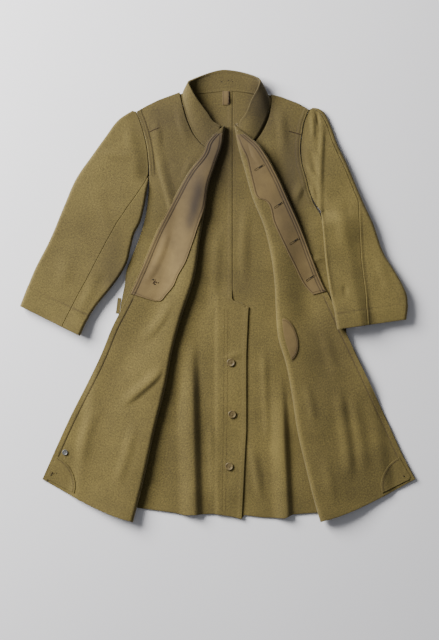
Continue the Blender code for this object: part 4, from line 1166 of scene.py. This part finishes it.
def sleeve_piece(name, sleeve, turn, down, cuff_hem, seam_column):
    """A wall over a range of turns. Near the cuff it is doubled by its hem, and beside the seam
    that shows, the pressed seam allowance makes a low ridge."""
    middle = sleeve.middle(down[:, None], turn)
    from_cuff = lengths_along(middle, 0)
    from_cuff = from_cuff[-1] - from_cuff
    hem = 0.8 * smooth_step((cuff_hem + 2 - from_cuff) / 3)
    hem = hem - 0.5 * np.exp(-(((from_cuff - cuff_hem) / 1.5) ** 2))
    nearest = np.abs(from_cuff - cuff_hem).argmin(axis=0)
    HEM_LINES[name] = middle[nearest, np.arange(middle.shape[1]), :2]
    across = lengths_along(middle, 1)
    from_seam = np.abs(across - across[:, seam_column][:, None])
    below_armpit = smooth_step((down - sleeve.armpit - 0.02) / 0.04)[:, None]
    ridge = 0.9 * smooth_step((SEAM_RIDGE - from_seam) / 3) * below_armpit
    centre = middle.mean(axis=1, keepdims=True)
    out = normals_of(middle)
    facing = np.sign(((middle - centre) * out).sum())
    tone = groove(from_cuff - cuff_hem, 0.3) + groove(from_seam - SEAM_RIDGE, 0.12) * (seam_column >= 0)
    return wall(name, middle, WOOL, hem + ridge * (seam_column >= 0), tone, facing=facing)


def seam_share(sleeve, line, down):
    """The share across the upper layer at which a seam's plan line crosses each row."""
    rows, shares = np.linspace(0, 1, 400), np.linspace(0, 0.97, 200)
    plan = sleeve.middle(rows[:, None], shares[None, :])[..., :2]
    points = along(line, np.linspace(0, 1, 14))
    nearest = [np.argmin(((plan - point) ** 2).sum(axis=-1)) for point in points]
    row, column = np.unravel_index(nearest, plan.shape[:2])
    return through(rows[row], shares[column], down)


def sleeve_down(sleeve):
    a = sleeve.armpit
    return spaced(0, int(90 * a), a, 8, a + sleeve.WRAP, 12, a + 0.1, int(100 * (0.9 - a)), 1)


def right_sleeve():
    down = sleeve_down(SLEEVE_R)
    gap = SEAM_HALF_GAP / SLEEVE_R.width(down)
    near_seam = NEAR_SEAM / SLEEVE_R.width(down)
    wrapped = SLEEVE_R.past_armpit(down, SLEEVE_R.WRAP)
    seam = seam_share(SLEEVE_R, SEAM_R, down)
    below, two, one = np.full_like(down, 2 + SEAM_BELOW), np.full_like(down, 2.0), np.ones_like(down)
    turn = piecewise(seam + gap, 4, seam + gap + near_seam, 24, one, 10, two, 4, below)
    top = sleeve_piece("sleeve_top_r_cloth", SLEEVE_R, turn, down, CUFF_HEM_R, -1)
    end = 3 + wrapped * (1 + seam - gap)
    turn = piecewise(below + gap, 26, 0 * two + 3 - 0.001, 22, end - near_seam * wrapped, 4, end)
    under = sleeve_piece("sleeve_under_r_cloth", SLEEVE_R, turn, down, CUFF_HEM_R, -1)
    return top, under


def left_sleeve():
    down = sleeve_down(SLEEVE_L)
    gap = SEAM_HALF_GAP / SLEEVE_L.width(down)
    near_seam = NEAR_SEAM / SLEEVE_L.width(down)
    wrapped = SLEEVE_L.past_armpit(down, SLEEVE_L.WRAP)
    seam = seam_share(SLEEVE_L, SEAM_L, down)
    first = 4 - wrapped * (1 + SEAM_BELOW) + gap
    last = 4 + seam - gap
    turn = piecewise(first, 18, np.full_like(down, 4 + SEAM_BELOW), 24, last - near_seam, 4, last)
    top = sleeve_piece("sleeve_top_l_cloth", SLEEVE_L, turn, down, CUFF_HEM_L, -1)
    end = 3 - wrapped * SEAM_BELOW - gap
    one, two = np.ones_like(down), np.full_like(down, 2.0)
    beside_seam = np.minimum(seam + gap + near_seam, one - 0.004)
    turn = piecewise(seam + gap, 4, beside_seam, 12, one, 10, two, 24, end)
    under = sleeve_piece("sleeve_under_l_cloth", SLEEVE_L, turn, down, CUFF_HEM_L, 0)
    return top, under


sleeve_top_r, sleeve_under_r = right_sleeve()
sleeve_top_l, sleeve_under_l = left_sleeve()
put_on(sleeve_top_r, wool, "wool", "sleeve_top_r")
put_on(sleeve_under_r, wool, "wool", "sleeve_under_r")
put_on(sleeve_top_l, wool, "wool", "sleeve_top_l")
put_on(sleeve_under_l, wool, "wool", "sleeve_under_l")

# %% [markdown]
# The stand collar is a band of two wool cloths, sewn together along the top edge and to the
# neck seam below. It stands up at the sides and leans outwards at the back. Each station has a
# point on the neck seam and one on the top edge, and the band bulges a little between them.
# %% Collar
COLLAR = [
    ((-14, 366, 5.4), (5, 426, 7.0)),
    ((-32, 380, 5.4), (-12, 436, 9.0)),
    ((-54, 404, 5.4), (-28, 458, 14.0)),
    ((-71, 438, 5.4), (-44, 479, 19.0)),
    ((-82, 472, 5.6), (-58, 499, 26.0)),
    ((-88, 497, 5.8), (-69, 519, 31.0)),
    ((-87, 509, 5.8), (-74, 531, 30.0)),
    ((-76, 513, 5.2), (-64, 538, 22.0)),
    ((-58, 512, 3.6), (-41, 550, 13.0)),
    ((-34, 513, 2.6), (-18, 559, 9.0)),
    ((9, 517, 2.5), (9, 565, 7.5)),
    ((40, 517.5, 2.5), (40, 563, 8.0)),
    ((66, 514.5, 3.2), (66, 557, 11.0)),
    ((94, 510, 5.2), (88, 548, 17.0)),
    ((113, 509, 5.6), (102, 536, 26.0)),
    ((123, 499, 5.8), (99, 523, 29.0)),
    ((124, 471, 5.6), (82, 490, 21.0)),
    ((117, 441, 5.4), (67, 455, 15.0)),
    ((102, 411, 5.4), (53, 435, 10.0)),
    ((73, 367, 5.4), (52, 424, 7.5)),
]
COLLAR_BULGE, COLLAR_STITCH = 1.6, 6.0
# Where along the band the inner cloth covers the back's edge and the outer one the right front's
COVERS_BACK, COVERS_FRONT = (0.33, 0.37, 0.67, 0.72), (-1, -0.5, 0.32, 0.37)
COVERED = 6.0


def collar_band(side, covers):
    """The middle of one of the two cloths. Where it covers an edge, its lower end reaches on past
    the neck seam, level with it."""
    stations = np.linspace(0, 1, 120)
    neck = along([row[0] for row in COLLAR], stations)
    top = along([row[1] for row in COLLAR], stations)
    on, full, falls, off = covers
    reach = smooth_step((stations - on) / (full - on)) * smooth_step((off - stations) / (off - falls))
    below = (COVERED * reach / np.linalg.norm(top - neck, axis=-1))[:, None]
    rows = [below * [[-1, -0.66, -0.33]], np.linspace(0, 1, 14) + 0 * below]
    across = np.concatenate(rows, axis=1)[..., None]
    within = np.clip(across, 0, 1)
    band = neck[:, None, :] * (1 - within) + top[:, None, :] * within
    out = normals_of(neck[:, None, :] * (1 - across) + top[:, None, :] * across)
    out = out * np.sign(out[0, 0, 2])
    band = band + out * (COLLAR_BULGE * np.sin(np.pi * within) + side * (TRIM_GAP + COLLAR_CLOTH) / 2)
    band[..., :2] += ((top - neck)[:, None, :] * np.minimum(across, 0))[..., :2]
    band[..., 2] += lie(band[..., 0], band[..., 1])
    return band


def collar_cloth(name, side, covers):
    band = collar_band(side, covers)
    from_top = lengths_along(band, 1)[:, -1:] - lengths_along(band, 1)
    sign = side * np.sign(normals_of(band)[0, 8, 2])
    tone = groove(from_top - COLLAR_STITCH, 0.2)
    return wall(name, band, COLLAR_CLOTH, edge_relief(from_top, COLLAR_STITCH, 0.5), tone, facing=sign)


collar_outer = collar_cloth("collar_outer_cloth", 1, COVERS_FRONT)
collar_inner = collar_cloth("collar_inner_cloth", -1, COVERS_BACK)
put_on(collar_outer, wool, "wool", "collar_outer")
put_on(collar_inner, wool_inside, "wool_inside", "collar_inner")

# %% [markdown]
# Thread holds a coat together, and on thick wool it sinks in and shows as a dotted groove. Every
# stitch here is a four-sided tube, thin at both ends and arched out of the cloth. Its two ends are
# found by dropping plan places onto the finished cloth, so it lies on every band and fold. All the
# stitches of one colour are joined into one mesh, as a few arrays.
# %% Stitches
# Share of a thread's length, and its thickness there
THREAD_RINGS = np.array([(0.0, 0.4), (0.3, 1.0), (0.7, 1.0), (1.0, 0.4)])
THREAD_SIDES = 4
DROP_HEIGHT = 0.2
# Two ends further apart in height than this lie on different cloths
SAME_CLOTH = 2.5


def dropped(plan, *cloths):
    """Where plan places land when they fall onto cloths from above, the way the cloth faces there,
    and whether there is any cloth."""
    points, facing, found = np.zeros((len(plan), 3)), np.zeros((len(plan), 3)), np.zeros(len(plan), bool)
    for k, (x, y) in enumerate(plan):
        casts = [cloth.ray_cast((x * MM, y * MM, DROP_HEIGHT), (0, 0, -1)) for cloth in cloths]
        hits = [(place, normal) for hit, place, normal, _ in casts if hit]
        if hits:
            place, normal = max(hits, key=lambda hit: hit[0].z)
            points[k], facing[k], found[k] = np.array(place) / MM, normal, True
    return points, facing, found


def thread_mesh(name, starts, ends, facing, thickness, bow=0.5, flat=1.0):
    """Joined threads. Each is a tube from start to end whose middle arches out of the cloth, and
    whose height is a share, flat, of its width."""
    side = unit(np.cross(facing, ends - starts))
    share, size = THREAD_RINGS[:, 0][None, :, None], THREAD_RINGS[:, 1][None, :, None, None]
    thick = np.broadcast_to(thickness, len(starts))[:, None, None]
    centre = starts[:, None] * (1 - share) + ends[:, None] * share
    centre = centre + facing[:, None] * thick * bow * np.sin(np.pi * share)
    angle = ((np.arange(THREAD_SIDES) + 0.5) * 2 * np.pi / THREAD_SIDES)[None, None, :, None]
    round_it = np.cos(angle) * side[:, None, None] + flat * np.sin(angle) * facing[:, None, None]
    points = centre[:, :, None] + thick[..., None] / 2 * size * round_it
    rings = len(THREAD_RINGS)
    index = np.arange(len(starts) * rings * THREAD_SIDES).reshape(-1, rings, THREAD_SIDES)
    after = np.roll(index, -1, axis=2)
    tube = np.stack([index[:, :-1], after[:, :-1], after[:, 1:], index[:, 1:]], axis=-1).reshape(-1, 4)
    caps = np.concatenate([index[:, 0, ::-1], index[:, -1]])
    return add_mesh(name, points.reshape(-1, 3), np.concatenate([tube, caps]))


def threads_between(starts, ends, *cloths):
    a, facing, found_a = dropped(starts, *cloths)
    b, _, found_b = dropped(ends, *cloths)
    keep = found_a & found_b & (np.abs(a[:, 2] - b[:, 2]) < SAME_CLOTH)
    return a[keep], b[keep], facing[keep]


def run(line, *cloths, pitch=4.2, length=2.9):
    """A row of stitches along a plan line."""
    total = np.linalg.norm(np.diff(np.asarray(line, float), axis=0), axis=1).sum()
    begin = (np.arange(int(total / pitch)) + 0.2) * pitch / total
    return threads_between(along(line, begin), along(line, begin + length / total), *cloths)


def bar(start, end, width, *cloths, pitch=0.9):
    """A row of close stitches across the line from start to end, as a bar tack has them."""
    start, end = np.array(start, float), np.array(end, float)
    total = np.linalg.norm(end - start)
    share = np.linspace(0, 1, int(total / pitch))[:, None]
    across = np.array([start[1] - end[1], end[0] - start[0]]) / total * width / 2
    line = start * (1 - share) + end * share
    return threads_between(line - across, line + across, *cloths)


def add_threads(name, finish, slot, rows, thickness, bow=0.5, flat=1.0):
    joined = [np.concatenate([row[k] for row in rows]) for k in range(3)]
    piece = put_on(thread_mesh(name, *joined, thickness, bow, flat), finish, slot)
    print(f"{name}: {len(joined[0])} threads, {len(piece.data.polygons)} faces")
    return piece


def strip_lines(front, border, end):
    """The stitched lines of a cotton strip: along its border, two along its edge, and its end."""
    steps, across = np.linspace(0.01, 0.985, 90), np.linspace(0, 1, 120)[None, :]
    down, part = strip_places(front, border, end, steps, across)
    plan = front.middle(down, part)
    across = lengths_along(plan, 1)
    offs = [across - HEM_OF_COTTON, *[across[:, -1:] - across - row for row in EDGE_ROWS]]
    rows = np.arange(len(plan))
    return [plan[rows, np.abs(off).argmin(axis=1), :2] for off in offs] + [plan[-1, 8::8, :2]]


def edge_line(front, cotton_end):
    down = np.linspace(front.place_of([cotton_end])[0][0] + 0.012, 0.985, 60)
    return front.middle(down, front.part_at(down, EDGE_BAND))[:, :2]


def arc_line(front, centre, reach, sector, size):
    angle = np.radians(np.linspace(*sector, 24))
    down, part = centre[0] + reach[0] * size * np.sin(angle), centre[1] + reach[1] * size * np.cos(angle)
    return front.middle(down, part)[:, :2]


def armhole_line(side, outward, inset, top):
    y = np.linspace(top, ARMPIT_Y[outward] - 30, 40)
    return np.stack([x_at(sewn_side(side, outward), y) - outward * inset, y], axis=-1)


VENT_STITCHES = [[(14, -30), (12, -280), (8, -535)], [(23, -30), (21, -280), (17, -535)]]
SHOULDER_BARS = [((-172, 411), (-148, 421)), ((176, 412), (205, 404))]
STRIP_BAR = (259, 16), (272, 10)
ROUND_POCKET = 1.08
# Side line, its way out, the row's distance in from it, the y of the row's upper end, and the cloth
ARMHOLE_ROWS = [
    (SIDE_R, -1, ARMHOLE_STITCH, 452, front_r), (SIDE_R, -1, ARMHOLE_BAND, 455, front_r),
    (SIDE_L, 1, ARMHOLE_STITCH, 456, front_l), (SIDE_L, 1, ARMHOLE_BAND, 458, front_l),
]
# Stitches are shorter and closer on cotton, and closer still round the pocket's mouth
ON_COTTON, ROUND_MOUTH = {"pitch": 3.4, "length": 2.4}, {"pitch": 3.0, "length": 2.0}
sleeve_pieces = (sleeve_top_r, sleeve_under_r, sleeve_top_l, sleeve_under_l)

bpy.context.view_layer.update()
khaki_rows = [
    *[run(armhole_line(*place), cloth) for *place, cloth in ARMHOLE_ROWS],
    *[run(line, back_r) for line in VENT_STITCHES],
    *[run(HEM_LINES[cloth.name], cloth) for cloth in sleeve_pieces],
]
brown_rows = [
    run(edge_line(TURNED_R, FACING_R_END), front_r_turned),
    run(edge_line(TURNED_L, STRIP_L_END), front_l_turned),
    *[run(line, facing_r, **ON_COTTON) for line in strip_lines(TURNED_R, FACING_R, FACING_R_END)],
    *[run(line, strip_l, **ON_COTTON) for line in strip_lines(TURNED_L, STRIP_L, STRIP_L_END)],
    run(arc_line(TURNED_R, *CORNER, STITCHED_AT), corner_patch_r),
    run(arc_line(TURNED_L, *CORNER, STITCHED_AT), corner_patch_l),
    run(arc_line(TURNED_L, *POCKET_MOUTH, STITCHED_AT), pocket_patch_l, **ROUND_MOUTH),
    run(arc_line(TURNED_L, *POCKET_MOUTH, ROUND_POCKET), front_l_turned, **ROUND_MOUTH),
    bar(*SHOULDER_BARS[0], 2.6, front_r),
    bar(*SHOULDER_BARS[1], 2.6, front_l),
    bar(*STRIP_BAR, 3.0, strip_l),
]
add_threads("khaki_stitches", thread, "wool", khaki_rows, 0.8)
add_threads("brown_stitches", dark_thread, "cotton", brown_rows, 0.8)

# %% [markdown]
# A buttonhole in thick cloth is a slit whose two lips are wrapped in close stitches, with a fan of
# them where the button pulls. The slit is a flat lens of painted shade, for the shade inside it. The
# stitches stand across it in a row on each side, and turn with the ends.
# %% Buttonholes
BUTTONHOLES = [
    ((91, 314), (111, 326)), ((140, 221), (159, 234)), ((178, 131), (199, 144)), ((220, 40), (238, 52)),
]
# Where along the hole the slit is open, and the reach of the stitches from it
SLIT_OPEN = (0.40, 0.96)
LIP_START, LIP_END = 0.8, 3.0


def lips(start, end, *cloths):
    """The stitches round a buttonhole: a row on each side of the slit, and a fan at both ends."""
    start, end = np.array(start, float), np.array(end, float)
    way = unit(end - start)
    across = np.array([-way[1], way[0]])
    share = np.linspace(0.02, 0.98, 22)[:, None]
    line = start * (1 - share) + end * share
    fan = np.radians(np.linspace(-75, 75, 7))[:, None]
    from_slit = [(line, across + 0 * line), (line, -across + 0 * line)]
    for tip, toward in ((end, way), (start, -way)):
        from_slit.append((tip, toward * np.cos(fan) + across * np.sin(fan)))
    inner = np.concatenate([place + out * LIP_START for place, out in from_slit])
    outer = np.concatenate([place + out * LIP_END for place, out in from_slit])
    return threads_between(inner, outer, *cloths)


def slit(start, end, *cloths):
    start, end = np.array([start], float), np.array([end], float)
    first, last = (start * (1 - share) + end * share for share in SLIT_OPEN)
    return threads_between(first, last, *cloths)


all_lips = [lips(*hole, strip_l) for hole in BUTTONHOLES]
all_slits = [slit(*hole, strip_l) for hole in BUTTONHOLES]
add_threads("buttonhole_lips", thread, "cotton", all_lips, 0.9)
add_threads("buttonhole_slit_shades", hole_shade, "cotton", all_slits, 2.6, 0.25, 0.25)

# %% [markdown]
# The hanger loop is a folded strip sewn inside the neck, and the tab at the right side is the end
# of a strap that comes from below. Both are drawn as the big cloths are: a grid of plan places,
# a height above the cloth that carries them, and a wall round it.
# %% Hanger loop and side tab
HANGER_START, HANGER_END, HANGER_WIDTH, HANGER_CLOTH, HANGER_BOW = (18, 512), (18, 478), 16.0, 1.6, 1.5
TAB_START, TAB_END, TAB_WIDTH, TAB_CLOTH = (-244.5, -24), (-254, -22.8), 40.0, 3.0


def strap_cloth(name, start, end, width, thickness, height):
    """A short strap from start to end, whose middle lies at height(x, y, share of its length)."""
    start, end = np.array(start, float), np.array(end, float)
    way = unit(end - start)
    share, side = np.linspace(0, 1, 26)[:, None], np.linspace(-0.5, 0.5, 16)[None, :]
    x = start[0] * (1 - share) + end[0] * share - way[1] * side * width
    y = start[1] * (1 - share) + end[1] * share + way[0] * side * width
    middle = np.stack([x, y, height(x, y, share)], axis=-1)
    from_side = (0.5 - np.abs(side)) * width + 0 * share
    return wall(name, middle, thickness, 0.0, groove(from_side - 2.0, 0.3), facing=1)


hanger = strap_cloth(
    "hanger_loop_cloth", HANGER_START, HANGER_END, HANGER_WIDTH, HANGER_CLOTH,
    lambda x, y, share: back_height(x, y, True) + WOOL / 2 + TRIM_GAP + HANGER_CLOTH / 2
    + HANGER_BOW * np.sin(np.pi * share),
)
tab = strap_cloth(
    "side_tab_r_cloth", TAB_START, TAB_END, TAB_WIDTH, TAB_CLOTH,
    lambda x, y, share: TAB_CLOTH / 2 + lie(x, y) + 0 * share,
)
put_on(hanger, cotton, "cotton", "hanger_loop")
put_on(tab, wool, "wool", "side_tab_r")

# %% [markdown]
# Pins, hooks and a patch that are gone have left holes and tufts of thread behind. A hole in thick
# cloth shows only as the shade inside it, so it is a flat lens of painted shade on the cloth. A tuft
# is a handful of thin threads that start together and spread at seeded angles.
# %% Holes and loose threads
# Middle x and y, and half size
HOLES = [
    (8, 536, 1.5), (25, 539, 1.4), (35, 536, 1.2), (44, 429, 1.8), (47, 406, 2.2), (-163, 42, 3.0),
    (-158, 30, 2.2), (-150, 34, 1.8), (-417, -445, 2.4), (463, -449, 2.0), (-404, -441, 1.0),
    (204, 477, 1.0), (212, 473, 0.9), (220, 476, 0.9), (228, 470, 1.0),
]
# Middle x and y, reach, and number of threads
PALE_TUFTS = [(46, 430, 6, 10), (50, 425, 5, 8), (41, 424, 5, 6), (46, 412, 4, 6)]
DARK_TUFTS = [
    (-160, 36, 9, 12), (-415, -443, 9, 5), (462, -447, 4, 4), (26, 484, 6, 10), (26, 496, 4, 8),
    (27, 508, 4, 6),
]


def spots(table, *cloths):
    places = np.array(table, float)
    half = places[:, 2:] * np.array([[1.0, 0.15]])
    return threads_between(places[:, :2] - half, places[:, :2] + half, *cloths)


def tufts(table, *cloths):
    chance = np.random.default_rng(31)
    starts, ends = [], []
    for x, y, reach, count in table:
        angle, length = chance.uniform(0, 2 * np.pi, count), reach * chance.uniform(0.4, 1.0, count)
        starts.append(np.stack([x + chance.normal(0, 0.8, count), y + chance.normal(0, 0.8, count)], axis=-1))
        ends.append(starts[-1] + np.stack([np.cos(angle), np.sin(angle)], axis=-1) * length[:, None])
    return threads_between(np.concatenate(starts), np.concatenate(ends), *cloths)


all_cloths = (
    collar_inner, collar_outer, facing_r, strip_l, corner_patch_r, corner_patch_l, front_r_turned,
    front_l_turned, front_l, back_r, back_l, hanger,
)
bpy.context.view_layer.update()
add_threads("holes", hole_shade, "wool", [spots(HOLES, *all_cloths)], 3.2, 0.12, 0.2)
add_threads("pale_tufts", pale_thread, "cotton", [tufts(PALE_TUFTS, *all_cloths)], 0.6, 1.4)
add_threads("dark_tufts", dark_thread, "cotton", [tufts(DARK_TUFTS, *all_cloths)], 0.7, 1.4)
FRAYED_CORD = [(26, 513), (27, 500), (25, 490), (27, 480)]
cord = run(FRAYED_CORD, *all_cloths, pitch=3.0, length=4.2)
add_threads("frayed_cord", dark_thread, "cotton", [cord], 2.6, 0.4)

# %% [markdown]
# The buttons are turned pieces: a profile of radius and height carried round an axis that stands
# on the cloth. The three on the vent are horn, dyed to the cloth, with a raised rim and four holes
# that the thread crosses. The small one near the front edge is pressed metal with a plain dish.
# %% Buttons
VENT_BUTTONS, VENT_RADIUS, VENT_THICKNESS = [(31, -165), (34, -294), (27, -424)], 10.0, 3.2
EDGE_BUTTON, EDGE_RADIUS, EDGE_THICKNESS = (-383, -389), 7.0, 2.6
BUTTON_SIDES = 48
# Share of the radius and of the thickness, from the middle below, over the rim, to the middle above
BUTTON_PROFILE = [
    (0.01, 0.0), (0.6, 0.0), (0.85, 0.12), (0.96, 0.35), (1.0, 0.6), (0.985, 0.8), (0.93, 0.95),
    (0.86, 1.0), (0.78, 0.96), (0.70, 0.84), (0.62, 0.76), (0.35, 0.74), (0.12, 0.74), (0.01, 0.74),
]
DISH = 0.74
# Each hole's distance from the middle on both ways across, its size, and half a lens's length
HOLE_AT, HOLE_SIZE, HOLE_HALF = 1.9, 1.5, 0.5
BAR_OFFSETS, BAR_ABOVE = (-0.3, 0.3), 0.2


class Seat:
    """Where a button sits: a place on a cloth, the way it faces, and two directions across it."""

    def __init__(self, place, cloth):
        base, facing, _ = dropped([place], cloth)
        self.base, self.facing = base[0], unit(facing[0])
        self.side = unit(np.cross(self.facing, (0.3, 1.0, 0.0)))
        self.other = np.cross(self.facing, self.side)

    def at(self, across, along_it, up):
        return self.base + self.side * across + self.other * along_it + self.facing * up


def button(name, node, seat, radius, thickness, finish, slot):
    profile = np.array(BUTTON_PROFILE) * (radius, thickness) + (0, TRIM_GAP)
    angle = np.arange(BUTTON_SIDES) * 2 * np.pi / BUTTON_SIDES
    ring = np.cos(angle)[:, None] * seat.side + np.sin(angle)[:, None] * seat.other
    points = seat.base + seat.facing * profile[:, 1][:, None, None]
    points = points + ring[None] * profile[:, 0][:, None, None]
    index = np.arange(len(profile) * BUTTON_SIDES).reshape(len(profile), BUTTON_SIDES)
    after = np.roll(index, -1, axis=1)
    faces = np.stack([index[:-1], after[:-1], after[1:], index[1:]], axis=-1).reshape(-1, 4)
    poles = np.stack([seat.at(0, 0, TRIM_GAP), seat.at(0, 0, TRIM_GAP + DISH * thickness)])
    points = np.concatenate([points.reshape(-1, 3), poles])
    low = np.stack([after[0], index[0], 0 * index[0] + len(points) - 2], axis=-1)
    high = np.stack([index[-1], after[-1], 0 * index[0] + len(points) - 1], axis=-1)
    return put_on(add_mesh(name, points, (faces, low, high)), finish, slot, node)


def threads_on(seat, pairs):
    """The starts, ends and facing of threads that are given as pairs of points."""
    starts, ends = (np.array(places) for places in zip(*pairs))
    return starts, ends, np.repeat(seat.facing[None], len(pairs), axis=0)


def button_threads(seat, thickness):
    """The four holes as lenses of painted shade, and the thread that crosses between them in two bars."""
    up = TRIM_GAP + DISH * thickness
    both = (-HOLE_AT, HOLE_AT)
    holes = [(seat.at(x - HOLE_HALF, y, up), seat.at(x + HOLE_HALF, y, up)) for x in both for y in both]
    rows = [y + off for y in both for off in BAR_OFFSETS]
    bars = [(seat.at(-HOLE_AT, y, up + BAR_ABOVE), seat.at(HOLE_AT, y, up + BAR_ABOVE)) for y in rows]
    return [threads_on(seat, holes), threads_on(seat, bars)]


seats = [Seat(place, back_r) for place in VENT_BUTTONS]
vent_size, edge_size = (VENT_RADIUS, VENT_THICKNESS), (EDGE_RADIUS, EDGE_THICKNESS)
for number, seat in enumerate(seats, 1):
    node = f"vent_button_{number}"
    button(f"{node}_horn", node, seat, *vent_size, horn, "button")
sewn = [button_threads(seat, VENT_THICKNESS) for seat in seats]
add_threads("button_hole_shades", hole_shade, "button", [holes for holes, _ in sewn], HOLE_SIZE, 0.05, 0.2)
add_threads("button_bars", thread, "cotton", [bars for _, bars in sewn], 0.6, 0.8)
edge_seat = Seat(EDGE_BUTTON, front_r_turned)
button("edge_button_r_metal", "edge_button_r", edge_seat, *edge_size, metal, "button_metal")

# %% [markdown]
# The table is a plain pale sheet, far larger than the view. One big soft light stands to the
# upper left and the pale surroundings fill the shadows. A long lens straight above keeps the
# coat's outline true.
# %% Table, light and camera
TABLE_HALF, TABLE_BELOW = 4000.0, 0.3
TABLE_DARKER, TABLE_PALER = (0.80, 0.80, 0.84, 1), (0.86, 0.86, 0.89, 1)


def pale_table():
    """A square far larger than the view, just under the coat."""
    ways = np.array([(-1, -1), (1, -1), (1, 1), (-1, 1)], float)
    corners = np.append(ways * TABLE_HALF, np.full((4, 1), -TABLE_BELOW), axis=1)
    mesh = bpy.data.meshes.new("table")
    mesh.from_pydata((corners * MM).tolist(), [], [(0, 1, 2, 3)])
    table = bpy.data.objects.new("table", mesh)
    bpy.context.scene.collection.objects.link(table)
    finish = Finish("table", {"Roughness": 0.9})
    place = finish.wire("ShaderNodeTexCoord", output=3)
    cloud = finish.noise(place, 1.2, 2.0)
    mesh.materials.append(finish.surface(finish.mixed(cloud, TABLE_DARKER, TABLE_PALER)))


def window_light():
    light = bpy.data.lights.new("window", "AREA")
    light.shape, light.size, light.size_y = "RECTANGLE", 2.2, 1.6
    light.energy = 400.0
    light.color = (1.0, 0.985, 0.96)
    lamp = bpy.data.objects.new("window", light)
    lamp.location = (-2.5, 1.6, 1.7)
    lamp.rotation_euler = (-lamp.location).to_track_quat("-Z", "Y").to_euler()
    bpy.context.scene.collection.objects.link(lamp)


def pale_room():
    world = bpy.data.worlds.new("studio")
    world.use_nodes = True
    world.node_tree.nodes["Background"].inputs["Color"].default_value = (0.93, 0.95, 1.0, 1)
    world.node_tree.nodes["Background"].inputs["Strength"].default_value = 0.20
    bpy.context.scene.world = world


def camera_above():
    lens = bpy.data.cameras.new("above")
    lens.lens, lens.sensor_width = 90.0, 36.0
    lens.clip_end = 20.0
    eye = bpy.data.objects.new("above", lens)
    eye.location = (0.0025, -0.05875, 4.0)
    bpy.context.scene.collection.objects.link(eye)
    bpy.context.scene.camera = eye


pale_table()
window_light()
pale_room()
camera_above()
